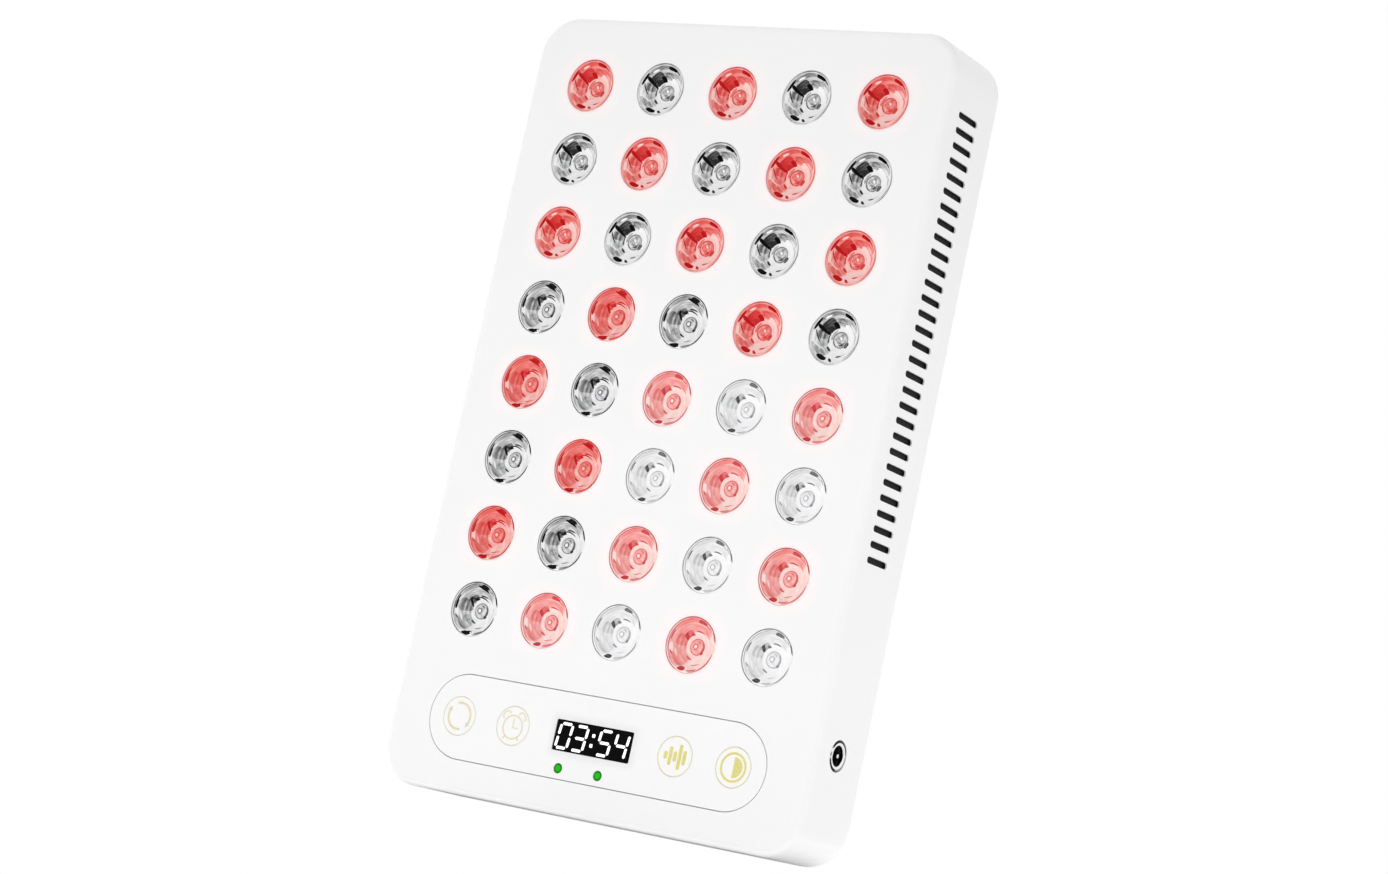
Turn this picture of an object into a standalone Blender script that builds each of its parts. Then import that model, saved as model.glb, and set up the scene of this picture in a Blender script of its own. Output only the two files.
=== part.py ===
"""Desktop light therapy panel: a white moulded box with forty round lenses and a row of keys.

The panel stands on its lower side. X runs to the viewer's right, Y from the lit face to
the back, Z upwards. The origin lies under the middle of the box.
"""

from math import cos, pi, radians, sin

import bmesh
import bpy
from mathutils import Matrix, Vector

# Box
PANEL_WIDTH = 0.190
PANEL_HEIGHT = 0.310
PANEL_DEPTH = 0.036
WALL = 0.002
CORNER_RADIUS = 0.016
FRONT_EDGE_RADIUS = 0.003
REAR_EDGE_RADIUS = 0.0012
CORNER_STEPS = 5
EDGE_STEPS = 3
INNER_EDGE_STEPS = 1
ROUND_SHARE = 0.5
SMOOTH_ANGLE = radians(35)

# Gaps and cuts
SEAT_GAP = 0.0003
CUT_OVERRUN = 0.001
WELD_DISTANCE = 0.00001

# Lenses
LENS_COLUMNS = 5
LENS_ROWS = 8
GRID_SIDE_MARGIN = 0.0282
GRID_TOP_MARGIN = 0.0278
GRID_PILL_CLEARANCE = 0.02475
LENS_WEB = 0.0087
LENS_LIP = 0.0011
LENS_RECESS = 0.0002
LENS_BOWL_DEPTH = 0.0047
LENS_BOWL_FLOOR_DIAMETER = 0.0088
LENS_REAR_DIAMETER = 0.0090
LENS_STEPS = 10

# Emitter board and heat sink
EMITTER_SIZE = 0.0035
EMITTER_HEIGHT = 0.0014
LED_BOARD_THICKNESS = 0.0016
LED_BOARD_MARGIN = 0.0115
SINK_BASE = 0.0022
FIN_HEIGHT = 0.0052
FIN_THICKNESS = 0.0014
FIN_COUNT = 13
FIN_FAN_GAP = 0.0007
BOSS_RADIUS = 0.0030
BOSS_STEPS = 8

# Vent slots in both sides
VENT_COUNT = 30
VENT_TOP_MARGIN = 0.0284
VENT_BOTTOM_HEIGHT = 0.1128
VENT_LENGTH = 0.0150
VENT_WIDTH = 0.0025
VENT_SETBACK = 0.0159
VENT_STEPS = 8

# Control panel
PILL_SIDE_MARGIN = 0.0184
PILL_WIDTH = 0.0333
PILL_HEIGHT = 0.0294
PILL_LIP = 0.0015
PILL_LIP_THICKNESS = 0.0015
PILL_STEPS = 28

# Keys
KEY_HOLE_DIAMETER = 0.0152
KEY_OUTER_SHARE = 0.408
KEY_INNER_SHARE = 0.2415
KEY_LIP = 0.0010
KEY_LIP_THICKNESS = 0.0010
KEY_TRAVEL = 0.0005
KEY_STEM_RADIUS = 0.0018
KEY_STEM_LENGTH = 0.0012
KEY_STEPS = 18

# Clock display
DISPLAY_WIDTH = 0.0350
DISPLAY_HEIGHT = 0.0118
DISPLAY_CORNER = 0.0006
WINDOW_LIP = 0.0008
WINDOW_LIP_THICKNESS = 0.0008

# Indicator lights
INDICATOR_HOLE_DIAMETER = 0.0035
INDICATOR_LEFT_SHARE = -0.366
INDICATOR_RIGHT_SHARE = 0.151
INDICATOR_INSET = 0.00425
INDICATOR_STEPS = 12

# Control board
BOARD_INSET = 0.00165
BOARD_THICKNESS = 0.0016
SWITCH_SIZE = 0.0060
SWITCH_HEIGHT = 0.0024
STUD_RADIUS = 0.0018
STUD_INSET = 0.0062
STUD_STEPS = 8

# Power socket
JACK_HEIGHT = 0.0411
JACK_SETBACK = 0.0166
JACK_HOLE_DIAMETER = 0.0118
JACK_BORE_DIAMETER = 0.0064
JACK_PIN_DIAMETER = 0.0021
JACK_LENGTH = 0.0125
JACK_BORE_DEPTH = 0.0098
JACK_PIN_SETBACK = 0.0012
JACK_BEVEL = 0.0005
JACK_LIP = 0.0012
JACK_STEPS = 16

# Rear cover
COVER_THICKNESS = 0.0020
POST_RADIUS = 0.0036
POST_WALL_GAP = 0.0012
SIDE_POST_DROP = 0.0128
PILOT_RADIUS = 0.0011
PILOT_FLOOR = 0.0020
SCREW_HOLE_RADIUS = 0.0017
SCREW_HEAD_RADIUS = 0.0031
SCREW_HEAD_DEPTH = 0.0011
SCREW_STEPS = 8
GRILLE_SLOT_WIDTH = 0.0028
GRILLE_INSET = 0.0013
GRILLE_END_INSET = 0.0062
GRILLE_SLOTS = 9

# Fan
FAN_STAND_RISE = 0.0700
FAN_SIZE = 0.0600
FAN_THICKNESS = 0.0100
FAN_CORNER = 0.0040
FAN_CORNER_STEPS = 2
FAN_RIM = 0.0017
FAN_TIP_GAP = 0.0007
FAN_HUB_RADIUS = 0.0130
FAN_HUB_WALL = 0.0012
FAN_HUB_BEVEL = 0.0006
FAN_BASE_THICKNESS = 0.0015
FAN_STRUT_WIDTH = 0.0030
FAN_SPINDLE_RADIUS = 0.0035
FAN_SPINDLE_STEPS = 16
FAN_SCREW_INSET = 0.0050
FAN_SCREW_RADIUS = 0.0020
FAN_STEPS = 24

# Fan blades
BLADES = 7
BLADE_THICKNESS = 0.0010
BLADE_CHORD = 0.0097
BLADE_CAMBER = 0.0005
BLADE_ROOT_PITCH = radians(52)
BLADE_TIP_PITCH = radians(32)
BLADE_SWEEP = radians(14)
BLADE_DEPTH_SHARE = 0.92
BLADE_STATIONS = 4
BLADE_POINTS = 4

# Folding stand
STAND_WIDTH = 0.0700
STAND_LENGTH = 0.1050
STAND_THICKNESS = 0.0034
STAND_CORNER = 0.0080
STAND_CORNER_STEPS = 4
STAND_EDGE = 0.0005
STAND_SIDE_GAP = 0.0005
STAND_HINGE_HEIGHT = 0.1500
STAND_AXIS_DEPTH = 0.0027
STAND_BARREL_RADIUS = 0.0022
STAND_PIN_RADIUS = 0.0010
STAND_PIN_REACH = 0.0028
WELL_SIDE_WALL = 0.0040
WELL_CORNER = 0.0035
WELL_CORNER_STEPS = 2
WELL_FLOOR = 0.0015
NOTCH_WIDTH = 0.0240
NOTCH_HEIGHT = 0.0085
BARREL_STEPS = 12

# Places worked out from the sizes
FRONT = -PANEL_DEPTH / 2
REAR = PANEL_DEPTH / 2
SIDE = PANEL_WIDTH / 2
WALL_BACK = FRONT + WALL
COVER_FRONT = REAR - COVER_THICKNESS
FAN_BACK = COVER_FRONT - SEAT_GAP
FAN_FRONT = FAN_BACK - FAN_THICKNESS
FIN_BACK = FAN_FRONT - FIN_FAN_GAP
SINK_BACK = FIN_BACK - FIN_HEIGHT
SINK_FRONT = SINK_BACK - SINK_BASE
LED_BOARD_FRONT = SINK_FRONT - SEAT_GAP - LED_BOARD_THICKNESS
LENS_FRONT = FRONT + LENS_RECESS
LENS_BACK = LED_BOARD_FRONT - EMITTER_HEIGHT - SEAT_GAP
LENS_LENGTH = LENS_BACK - LENS_FRONT

PILL_LENGTH = PANEL_WIDTH - PILL_SIDE_MARGIN * 2
PILL_LIP_FRONT = WALL_BACK + SEAT_GAP
PILL_BACK = PILL_LIP_FRONT + PILL_LIP_THICKNESS
KEY_LIP_FRONT = PILL_BACK + SEAT_GAP
KEY_BACK = KEY_LIP_FRONT + KEY_LIP_THICKNESS + KEY_STEM_LENGTH
SWITCH_FRONT = KEY_BACK + KEY_TRAVEL + SEAT_GAP
BOARD_FRONT = SWITCH_FRONT + SWITCH_HEIGHT
KEY_OUTER_OFFSET = PILL_LENGTH * KEY_OUTER_SHARE
KEY_INNER_OFFSET = PILL_LENGTH * KEY_INNER_SHARE
INDICATOR_HEIGHT = PILL_HEIGHT - PILL_WIDTH / 2 + INDICATOR_INSET

GRID_LOW = PILL_HEIGHT + PILL_WIDTH / 2 + GRID_PILL_CLEARANCE
GRID_HIGH = PANEL_HEIGHT - GRID_TOP_MARGIN
GRID_HEIGHT = (GRID_LOW + GRID_HIGH) / 2
ROW_PITCH = (GRID_HIGH - GRID_LOW) / (LENS_ROWS - 1)
COLUMN_PITCH = (PANEL_WIDTH - GRID_SIDE_MARGIN * 2) / (LENS_COLUMNS - 1)
LENS_HOLE_DIAMETER = min(ROW_PITCH, COLUMN_PITCH) - LENS_WEB
BOARD_HALF_WIDTH = COLUMN_PITCH * (LENS_COLUMNS - 1) / 2 + LED_BOARD_MARGIN
BOARD_HALF_HEIGHT = ROW_PITCH * (LENS_ROWS - 1) / 2 + LED_BOARD_MARGIN
VENT_TOP_HEIGHT = PANEL_HEIGHT - VENT_TOP_MARGIN
VENT_PITCH = (VENT_TOP_HEIGHT - VENT_BOTTOM_HEIGHT) / (VENT_COUNT - 1)

POST_DIAGONAL = CORNER_RADIUS - WALL - POST_WALL_GAP - POST_RADIUS
POST_INSET = CORNER_RADIUS - POST_DIAGONAL * cos(radians(45))
SIDE_POST_HEIGHT = VENT_BOTTOM_HEIGHT - SIDE_POST_DROP
FAN_HEIGHT = STAND_HINGE_HEIGHT + FAN_STAND_RISE
FAN_BORE_RADIUS = FAN_SIZE / 2 - FAN_RIM
FAN_TIP_RADIUS = FAN_BORE_RADIUS - FAN_TIP_GAP
GRILLE_RADIUS = FAN_BORE_RADIUS - GRILLE_INSET
GRILLE_PITCH = (GRILLE_RADIUS - GRILLE_END_INSET) * 2 / (GRILLE_SLOTS - 1)

STAND_AXIS_Y = REAR - STAND_AXIS_DEPTH
STAND_OUTER = REAR - SEAT_GAP
WELL_BOTTOM = STAND_AXIS_Y - STAND_BARREL_RADIUS - SEAT_GAP
WELL_HALF_WIDTH = STAND_WIDTH / 2 + STAND_SIDE_GAP
WELL_TOP = STAND_HINGE_HEIGHT + STAND_AXIS_DEPTH + SEAT_GAP
WELL_FOOT = STAND_HINGE_HEIGHT - STAND_LENGTH - STAND_SIDE_GAP

# Turns that lay a piece's own Z axis along a side of the box
FACING_FRONT = Matrix.Rotation(radians(90), 4, "X")
FACING_RIGHT = Matrix.Rotation(radians(90), 4, "Y")


def clear_scene():
    for old in list(bpy.data.objects):
        bpy.data.objects.remove(old, do_unlink=True)


def new_collection(name):
    collection = bpy.data.collections.new(name)
    bpy.context.scene.collection.children.link(collection)
    return collection


def make_material(name, colour, roughness, metallic=0, glow=0, clear=0):
    material = bpy.data.materials.new(name)
    material.use_nodes = True
    material.diffuse_color = (*colour, 1)
    shader = material.node_tree.nodes["Principled BSDF"]
    shader.inputs["Base Color"].default_value = (*colour, 1)
    shader.inputs["Roughness"].default_value = roughness
    shader.inputs["Metallic"].default_value = metallic
    shader.inputs["Transmission Weight"].default_value = clear
    shader.inputs["Emission Color"].default_value = (*colour, 1)
    shader.inputs["Emission Strength"].default_value = glow
    return material


def add_piece(name, bm, material, place=Matrix.Identity(4)):
    """Turn a bmesh into a named piece of the panel."""
    mesh = bpy.data.meshes.new(name)
    bm.to_mesh(mesh)
    bm.free()
    mesh.set_sharp_from_angle(angle=SMOOTH_ANGLE)
    piece = bpy.data.objects.new(name, mesh)
    piece.matrix_world = place
    piece.data.materials.append(material)
    PIECES.objects.link(piece)
    return piece


def add_tool(name, bm):
    """Turn a bmesh into a hidden body that cuts or joins."""
    mesh = bpy.data.meshes.new(name)
    bm.to_mesh(mesh)
    bm.free()
    tool = bpy.data.objects.new(name, mesh)
    tool.hide_render = True
    tool.display_type = "WIRE"
    TOOLS.objects.link(tool)
    return tool


def combine(piece, tool, operation):
    step = piece.modifiers.new(tool.name, "BOOLEAN")
    step.operation = operation
    step.solver = "EXACT"
    step.object = tool


def cut(piece, tool):
    combine(piece, tool, "DIFFERENCE")


def join(piece, tool):
    combine(piece, tool, "UNION")


def add_box(bm, low, high):
    """Add a box between two opposite corners."""
    size = [b - a for a, b in zip(low, high)]
    centre = [(a + b) / 2 for a, b in zip(low, high)]
    matrix = Matrix.Translation(centre) @ Matrix.Diagonal((*size, 1))
    return bmesh.ops.create_cube(bm, size=1, matrix=matrix)["verts"]


def add_rounded_box(bm, low, high, radius, steps):
    """Add a box whose four edges along Y are round."""
    verts = add_box(bm, low, high)
    edges = {edge for vert in verts for edge in vert.link_edges}
    along_y = [edge for edge in edges
               if abs(edge.verts[0].co.x - edge.verts[1].co.x) < WELD_DISTANCE
               and abs(edge.verts[0].co.z - edge.verts[1].co.z) < WELD_DISTANCE]
    bmesh.ops.bevel(bm, geom=along_y, offset=radius, segments=steps, profile=ROUND_SHARE,
                    affect="EDGES")


def round_rim(bm, y, radius, steps):
    """Round the edges of the flat face that lies at the given depth."""
    rim = [edge for edge in bm.edges
           if all(abs(vert.co.y - y) < WELD_DISTANCE for vert in edge.verts)]
    bmesh.ops.bevel(bm, geom=rim, offset=radius, segments=steps, profile=ROUND_SHARE,
                    affect="EDGES")


def add_cylinder(bm, radius, start, end, steps, end_radius=None):
    """Add a cylinder or cone between two points."""
    start = Vector(start)
    end = Vector(end)
    span = end - start
    turn = span.to_track_quat("Z", "Y").to_matrix().to_4x4()
    matrix = Matrix.Translation((start + end) / 2) @ turn
    last = radius if end_radius is None else end_radius
    bmesh.ops.create_cone(bm, cap_ends=True, segments=steps, radius1=radius, radius2=last,
                          depth=span.length, matrix=matrix)


def add_slot(bm, length, width, depth, place, steps):
    """Add a bar with round ends: a cylinder whose halves are pulled apart along X."""
    flat_radius = width / 2 / cos(pi / steps)
    made = bmesh.ops.create_cone(bm, cap_ends=True, segments=steps, radius1=flat_radius,
                                 radius2=flat_radius, depth=depth,
                                 matrix=Matrix.Rotation(pi / steps, 4, "Z"))
    for vert in made["verts"]:
        pull = (length - width) / 2
        vert.co.x += pull if vert.co.x > 0 else -pull
    bmesh.ops.transform(bm, matrix=place, verts=made["verts"])


def add_turned(name, outline, steps, material, place):
    """Turn a half outline of (radius, height) points, top to bottom, about the piece's Z axis."""
    bm = bmesh.new()
    verts = [bm.verts.new((0, radius, height)) for radius, height in outline]
    for upper, lower in zip(verts, verts[1:]):
        bm.edges.new((upper, lower))
    piece = add_piece(name, bm, material, place)
    turn = piece.modifiers.new("turn", "SCREW")
    turn.steps = steps
    turn.render_steps = steps
    turn.use_merge_vertices = True
    turn.merge_threshold = WELD_DISTANCE
    turn.use_smooth_shade = False
    return piece


def lens_places():
    """Give each lens's row, column, X and Z, in reading order."""
    for row in range(LENS_ROWS):
        for column in range(LENS_COLUMNS):
            x = (column - (LENS_COLUMNS - 1) / 2) * COLUMN_PITCH
            z = GRID_HEIGHT + ((LENS_ROWS - 1) / 2 - row) * ROW_PITCH
            yield row, column, x, z


def key_places():
    return {
        "key_mode": -KEY_OUTER_OFFSET,
        "key_timer": -KEY_INNER_OFFSET,
        "key_pulse": KEY_INNER_OFFSET,
        "key_brightness": KEY_OUTER_OFFSET,
    }


def indicator_places():
    return {
        "indicator_left": DISPLAY_WIDTH * INDICATOR_LEFT_SHARE,
        "indicator_right": DISPLAY_WIDTH * INDICATOR_RIGHT_SHARE,
    }


def board_boss_places():
    """The bosses that carry the emitter board stand between the lenses."""
    x = COLUMN_PITCH * (LENS_COLUMNS - 2) / 2
    rise = ROW_PITCH * (LENS_ROWS - 2) / 2
    for side in (-x, x):
        for z in (GRID_HEIGHT - rise, GRID_HEIGHT, GRID_HEIGHT + rise):
            yield side, z


def post_places():
    """The posts that carry the rear cover stand in the corners and below the side vents."""
    x = SIDE - POST_INSET
    for side in (-x, x):
        for z in (POST_INSET, SIDE_POST_HEIGHT, PANEL_HEIGHT - POST_INSET):
            yield side, z


def stud_places():
    """The studs that carry the control board stand above and below the gaps between the keys."""
    x = (KEY_OUTER_OFFSET + KEY_INNER_OFFSET) / 2
    rise = PILL_WIDTH / 2 - STUD_INSET
    for side in (-x, x):
        for z in (PILL_HEIGHT - rise, PILL_HEIGHT + rise):
            yield side, z


def fan_screw_places():
    reach = FAN_SIZE / 2 - FAN_SCREW_INSET
    for x in (-reach, reach):
        for z in (FAN_HEIGHT - reach, FAN_HEIGHT + reach):
            yield x, z


def housing_bosses():
    """Make the posts and bosses that stand on the inside of the face."""
    bm = bmesh.new()
    foot = FRONT + WALL / 2
    for x, z in post_places():
        add_cylinder(bm, POST_RADIUS, (x, foot, z), (x, COVER_FRONT - SEAT_GAP, z), BOSS_STEPS)
    for x, z in board_boss_places():
        tip = LED_BOARD_FRONT - SEAT_GAP
        add_cylinder(bm, BOSS_RADIUS, (x, foot, z), (x, tip, z), BOSS_STEPS)
    return add_tool("housing_bosses", bm)


def housing_cavity():
    bm = bmesh.new()
    low = (-SIDE + WALL, FRONT + WALL, WALL)
    high = (SIDE - WALL, REAR + CUT_OVERRUN, PANEL_HEIGHT - WALL)
    add_rounded_box(bm, low, high, CORNER_RADIUS - WALL, CORNER_STEPS)
    round_rim(bm, FRONT + WALL, FRONT_EDGE_RADIUS - WALL, INNER_EDGE_STEPS)
    return add_tool("housing_cavity", bm)


def housing_face_openings():
    """Make the lens holes and the cut-out for the control panel."""
    bm = bmesh.new()
    start = FRONT - CUT_OVERRUN
    end = FRONT + WALL + CUT_OVERRUN
    for _, _, x, z in lens_places():
        add_cylinder(bm, LENS_HOLE_DIAMETER / 2, (x, start, z), (x, end, z), LENS_STEPS)
    place = Matrix.Translation((0, FRONT + WALL / 2, PILL_HEIGHT)) @ FACING_FRONT
    add_slot(bm, PILL_LENGTH, PILL_WIDTH, end - start, place, PILL_STEPS)
    return add_tool("housing_face_openings", bm)


def housing_side_openings():
    """Make the vent slots of both sides and the hole for the power socket."""
    bm = bmesh.new()
    through = WALL + CUT_OVERRUN * 2
    turn = FACING_RIGHT @ Matrix.Rotation(radians(90), 4, "Z")
    for side in (-1, 1):
        for number in range(VENT_COUNT):
            z = VENT_TOP_HEIGHT - number * VENT_PITCH
            centre = (side * (SIDE - WALL / 2), FRONT + VENT_SETBACK, z)
            add_slot(bm, VENT_LENGTH, VENT_WIDTH, through, Matrix.Translation(centre) @ turn,
                     VENT_STEPS)
    y = FRONT + JACK_SETBACK
    add_cylinder(bm, JACK_HOLE_DIAMETER / 2, (SIDE - WALL - CUT_OVERRUN, y, JACK_HEIGHT),
                 (SIDE + CUT_OVERRUN, y, JACK_HEIGHT), JACK_STEPS)
    return add_tool("housing_side_openings", bm)


def housing_pilot_holes():
    bm = bmesh.new()
    for x, z in post_places():
        add_cylinder(bm, PILOT_RADIUS, (x, WALL_BACK + PILOT_FLOOR, z), (x, REAR, z), BOSS_STEPS)
    return add_tool("housing_pilot_holes", bm)


def build_front_housing():
    """Build the moulded tub: face, four sides, posts and bosses."""
    bm = bmesh.new()
    add_rounded_box(bm, (-SIDE, FRONT, 0), (SIDE, REAR, PANEL_HEIGHT), CORNER_RADIUS, CORNER_STEPS)
    round_rim(bm, FRONT, FRONT_EDGE_RADIUS, EDGE_STEPS)
    round_rim(bm, REAR, REAR_EDGE_RADIUS, INNER_EDGE_STEPS)
    housing = add_piece("front_housing", bm, WHITE_PLASTIC)
    cut(housing, housing_cavity())
    join(housing, housing_bosses())
    cut(housing, housing_pilot_holes())
    cut(housing, housing_face_openings())
    cut(housing, housing_side_openings())


def build_lenses():
    """Build the forty lenses: a bowl in the face, a lip behind it and a cone to the emitter."""
    disc = LENS_HOLE_DIAMETER / 2 - SEAT_GAP
    lip = LENS_HOLE_DIAMETER / 2 + LENS_LIP
    lip_depth = WALL - LENS_RECESS + SEAT_GAP
    outline = [
        (0, -LENS_BOWL_DEPTH),
        (LENS_BOWL_FLOOR_DIAMETER / 2, -LENS_BOWL_DEPTH),
        (disc, 0),
        (disc, -lip_depth),
        (lip, -lip_depth),
        (LENS_REAR_DIAMETER / 2, -LENS_LENGTH),
        (0, -LENS_LENGTH),
    ]
    for row, column, x, z in lens_places():
        material = LIT_LENS if (row + column) % 2 == 0 else CLEAR_LENS
        place = Matrix.Translation((x, LENS_FRONT, z)) @ FACING_FRONT
        add_turned(f"lens_r{row + 1}_c{column + 1}", outline, LENS_STEPS, material, place)


def build_led_board():
    """Build the emitter board: a plate with a square emitter behind each lens."""
    bm = bmesh.new()
    add_box(bm, (-BOARD_HALF_WIDTH, LED_BOARD_FRONT, GRID_HEIGHT - BOARD_HALF_HEIGHT),
            (BOARD_HALF_WIDTH, LED_BOARD_FRONT + LED_BOARD_THICKNESS,
             GRID_HEIGHT + BOARD_HALF_HEIGHT))
    board = add_piece("led_board", bm, BOARD_WHITE)
    bm = bmesh.new()
    reach = EMITTER_SIZE / 2
    for _, _, x, z in lens_places():
        add_box(bm, (x - reach, LED_BOARD_FRONT - EMITTER_HEIGHT, z - reach),
                (x + reach, LED_BOARD_FRONT + LED_BOARD_THICKNESS / 2, z + reach))
    join(board, add_tool("emitters", bm))


def build_heat_sink():
    """Build the finned plate that lies against the emitter board."""
    bm = bmesh.new()
    add_box(bm, (-BOARD_HALF_WIDTH, SINK_FRONT, GRID_HEIGHT - BOARD_HALF_HEIGHT),
            (BOARD_HALF_WIDTH, SINK_BACK, GRID_HEIGHT + BOARD_HALF_HEIGHT))
    sink = add_piece("heat_sink", bm, ALUMINIUM)
    bm = bmesh.new()
    spacing = (BOARD_HALF_WIDTH * 2 - FIN_THICKNESS) / (FIN_COUNT - 1)
    reach = BOARD_HALF_HEIGHT - FIN_THICKNESS
    for number in range(FIN_COUNT):
        left = -BOARD_HALF_WIDTH + number * spacing
        add_box(bm, (left, SINK_BACK - SINK_BASE / 2, GRID_HEIGHT - reach),
                (left + FIN_THICKNESS, FIN_BACK, GRID_HEIGHT + reach))
    join(sink, add_tool("fins", bm))


def control_panel_openings():
    """Make the holes for the keys, the window and the two indicator lights."""
    bm = bmesh.new()
    start = FRONT - CUT_OVERRUN
    end = PILL_BACK + CUT_OVERRUN
    for x in key_places().values():
        add_cylinder(bm, KEY_HOLE_DIAMETER / 2, (x, start, PILL_HEIGHT), (x, end, PILL_HEIGHT),
                     KEY_STEPS)
    z = INDICATOR_HEIGHT
    for x in indicator_places().values():
        add_cylinder(bm, INDICATOR_HOLE_DIAMETER / 2, (x, start, z), (x, end, z), INDICATOR_STEPS)
    half_width = DISPLAY_WIDTH / 2
    half_height = DISPLAY_HEIGHT / 2
    add_rounded_box(bm, (-half_width, start, PILL_HEIGHT - half_height),
                    (half_width, end, PILL_HEIGHT + half_height), DISPLAY_CORNER, 1)
    return add_tool("control_panel_openings", bm)


def build_control_panel():
    """Build the pill-shaped panel, flush with the face and held by a lip behind it."""
    bm = bmesh.new()
    depth = PILL_LIP_FRONT + PILL_LIP_THICKNESS / 2 - FRONT
    place = Matrix.Translation((0, FRONT + depth / 2, PILL_HEIGHT)) @ FACING_FRONT
    add_slot(bm, PILL_LENGTH - SEAT_GAP * 2, PILL_WIDTH - SEAT_GAP * 2, depth, place, PILL_STEPS)
    panel = add_piece("control_panel", bm, PANEL_WHITE)
    bm = bmesh.new()
    middle = (PILL_LIP_FRONT + PILL_BACK) / 2
    place = Matrix.Translation((0, middle, PILL_HEIGHT)) @ FACING_FRONT
    add_slot(bm, PILL_LENGTH + PILL_LIP * 2, PILL_WIDTH + PILL_LIP * 2, PILL_LIP_THICKNESS, place,
             PILL_STEPS)
    join(panel, add_tool("control_panel_lip", bm))
    bm = bmesh.new()
    for x, z in stud_places():
        add_cylinder(bm, STUD_RADIUS, (x, middle, z), (x, BOARD_FRONT - SEAT_GAP, z), STUD_STEPS)
    join(panel, add_tool("control_panel_studs", bm))
    cut(panel, control_panel_openings())


def build_keys():
    """Build the four round keys: cap, lip behind the panel and a stem towards the switch."""
    cap = KEY_HOLE_DIAMETER / 2 - SEAT_GAP
    lip = KEY_HOLE_DIAMETER / 2 + KEY_LIP
    lip_front = FRONT - KEY_LIP_FRONT
    lip_back = lip_front - KEY_LIP_THICKNESS
    outline = [
        (0, 0),
        (cap, 0),
        (cap, lip_front),
        (lip, lip_front),
        (lip, lip_back),
        (KEY_STEM_RADIUS, lip_back),
        (KEY_STEM_RADIUS, FRONT - KEY_BACK),
        (0, FRONT - KEY_BACK),
    ]
    for name, x in key_places().items():
        place = Matrix.Translation((x, FRONT, PILL_HEIGHT)) @ FACING_FRONT
        add_turned(name, outline, KEY_STEPS, KEY_WHITE, place)


def build_display():
    """Build the black window and the display block behind it."""
    half_width = DISPLAY_WIDTH / 2 - SEAT_GAP
    half_height = DISPLAY_HEIGHT / 2 - SEAT_GAP
    lip_front = PILL_BACK + SEAT_GAP
    lip_back = lip_front + WINDOW_LIP_THICKNESS
    bm = bmesh.new()
    add_rounded_box(bm, (-half_width, FRONT, PILL_HEIGHT - half_height),
                    (half_width, lip_front + WINDOW_LIP_THICKNESS / 2, PILL_HEIGHT + half_height),
                    DISPLAY_CORNER, 1)
    window = add_piece("display_window", bm, BLACK_WINDOW)
    half_width = DISPLAY_WIDTH / 2 + WINDOW_LIP
    half_height = DISPLAY_HEIGHT / 2 + WINDOW_LIP
    bm = bmesh.new()
    add_box(bm, (-half_width, lip_front, PILL_HEIGHT - half_height),
            (half_width, lip_back, PILL_HEIGHT + half_height))
    join(window, add_tool("window_lip", bm))
    bm = bmesh.new()
    add_box(bm, (-half_width, lip_back + SEAT_GAP, PILL_HEIGHT - half_height),
            (half_width, BOARD_FRONT - SEAT_GAP, PILL_HEIGHT + half_height))
    add_piece("display_module", bm, BLACK_WINDOW)


def build_indicators():
    """Build the two light pipes that run from the board to the panel."""
    radius = INDICATOR_HOLE_DIAMETER / 2 - SEAT_GAP
    z = INDICATOR_HEIGHT
    for name, x in indicator_places().items():
        bm = bmesh.new()
        add_cylinder(bm, radius, (x, FRONT, z), (x, BOARD_FRONT - SEAT_GAP, z), INDICATOR_STEPS)
        add_piece(name, bm, GREEN_LIGHT)


def build_control_board():
    """Build the board that carries a switch behind each key."""
    bm = bmesh.new()
    half_length = PILL_LENGTH / 2 - BOARD_INSET
    half_width = PILL_WIDTH / 2 - BOARD_INSET
    add_box(bm, (-half_length, BOARD_FRONT, PILL_HEIGHT - half_width),
            (half_length, BOARD_FRONT + BOARD_THICKNESS, PILL_HEIGHT + half_width))
    board = add_piece("control_board", bm, BOARD_GREEN)
    bm = bmesh.new()
    reach = SWITCH_SIZE / 2
    for x in key_places().values():
        add_box(bm, (x - reach, SWITCH_FRONT, PILL_HEIGHT - reach),
                (x + reach, BOARD_FRONT + BOARD_THICKNESS / 2, PILL_HEIGHT + reach))
    join(board, add_tool("switches", bm))


def build_dc_jack():
    """Build the power socket: ring, bore, centre pin and a lip inside the wall."""
    ring = JACK_HOLE_DIAMETER / 2 - SEAT_GAP
    bore = JACK_BORE_DIAMETER / 2
    lip_top = -WALL - SEAT_GAP
    pin = JACK_PIN_DIAMETER / 2
    outline = [
        (0, -JACK_PIN_SETBACK),
        (pin, -JACK_PIN_SETBACK),
        (pin, -JACK_BORE_DEPTH),
        (bore, -JACK_BORE_DEPTH),
        (bore, -JACK_BEVEL),
        (bore + JACK_BEVEL, 0),
        (ring - JACK_BEVEL, 0),
        (ring, -JACK_BEVEL),
        (ring, lip_top),
        (ring + JACK_LIP, lip_top),
        (ring + JACK_LIP, -JACK_LENGTH),
        (0, -JACK_LENGTH),
    ]
    place = Matrix.Translation((SIDE, FRONT + JACK_SETBACK, JACK_HEIGHT)) @ FACING_RIGHT
    add_turned("dc_jack", outline, JACK_STEPS, CHROME, place)


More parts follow.
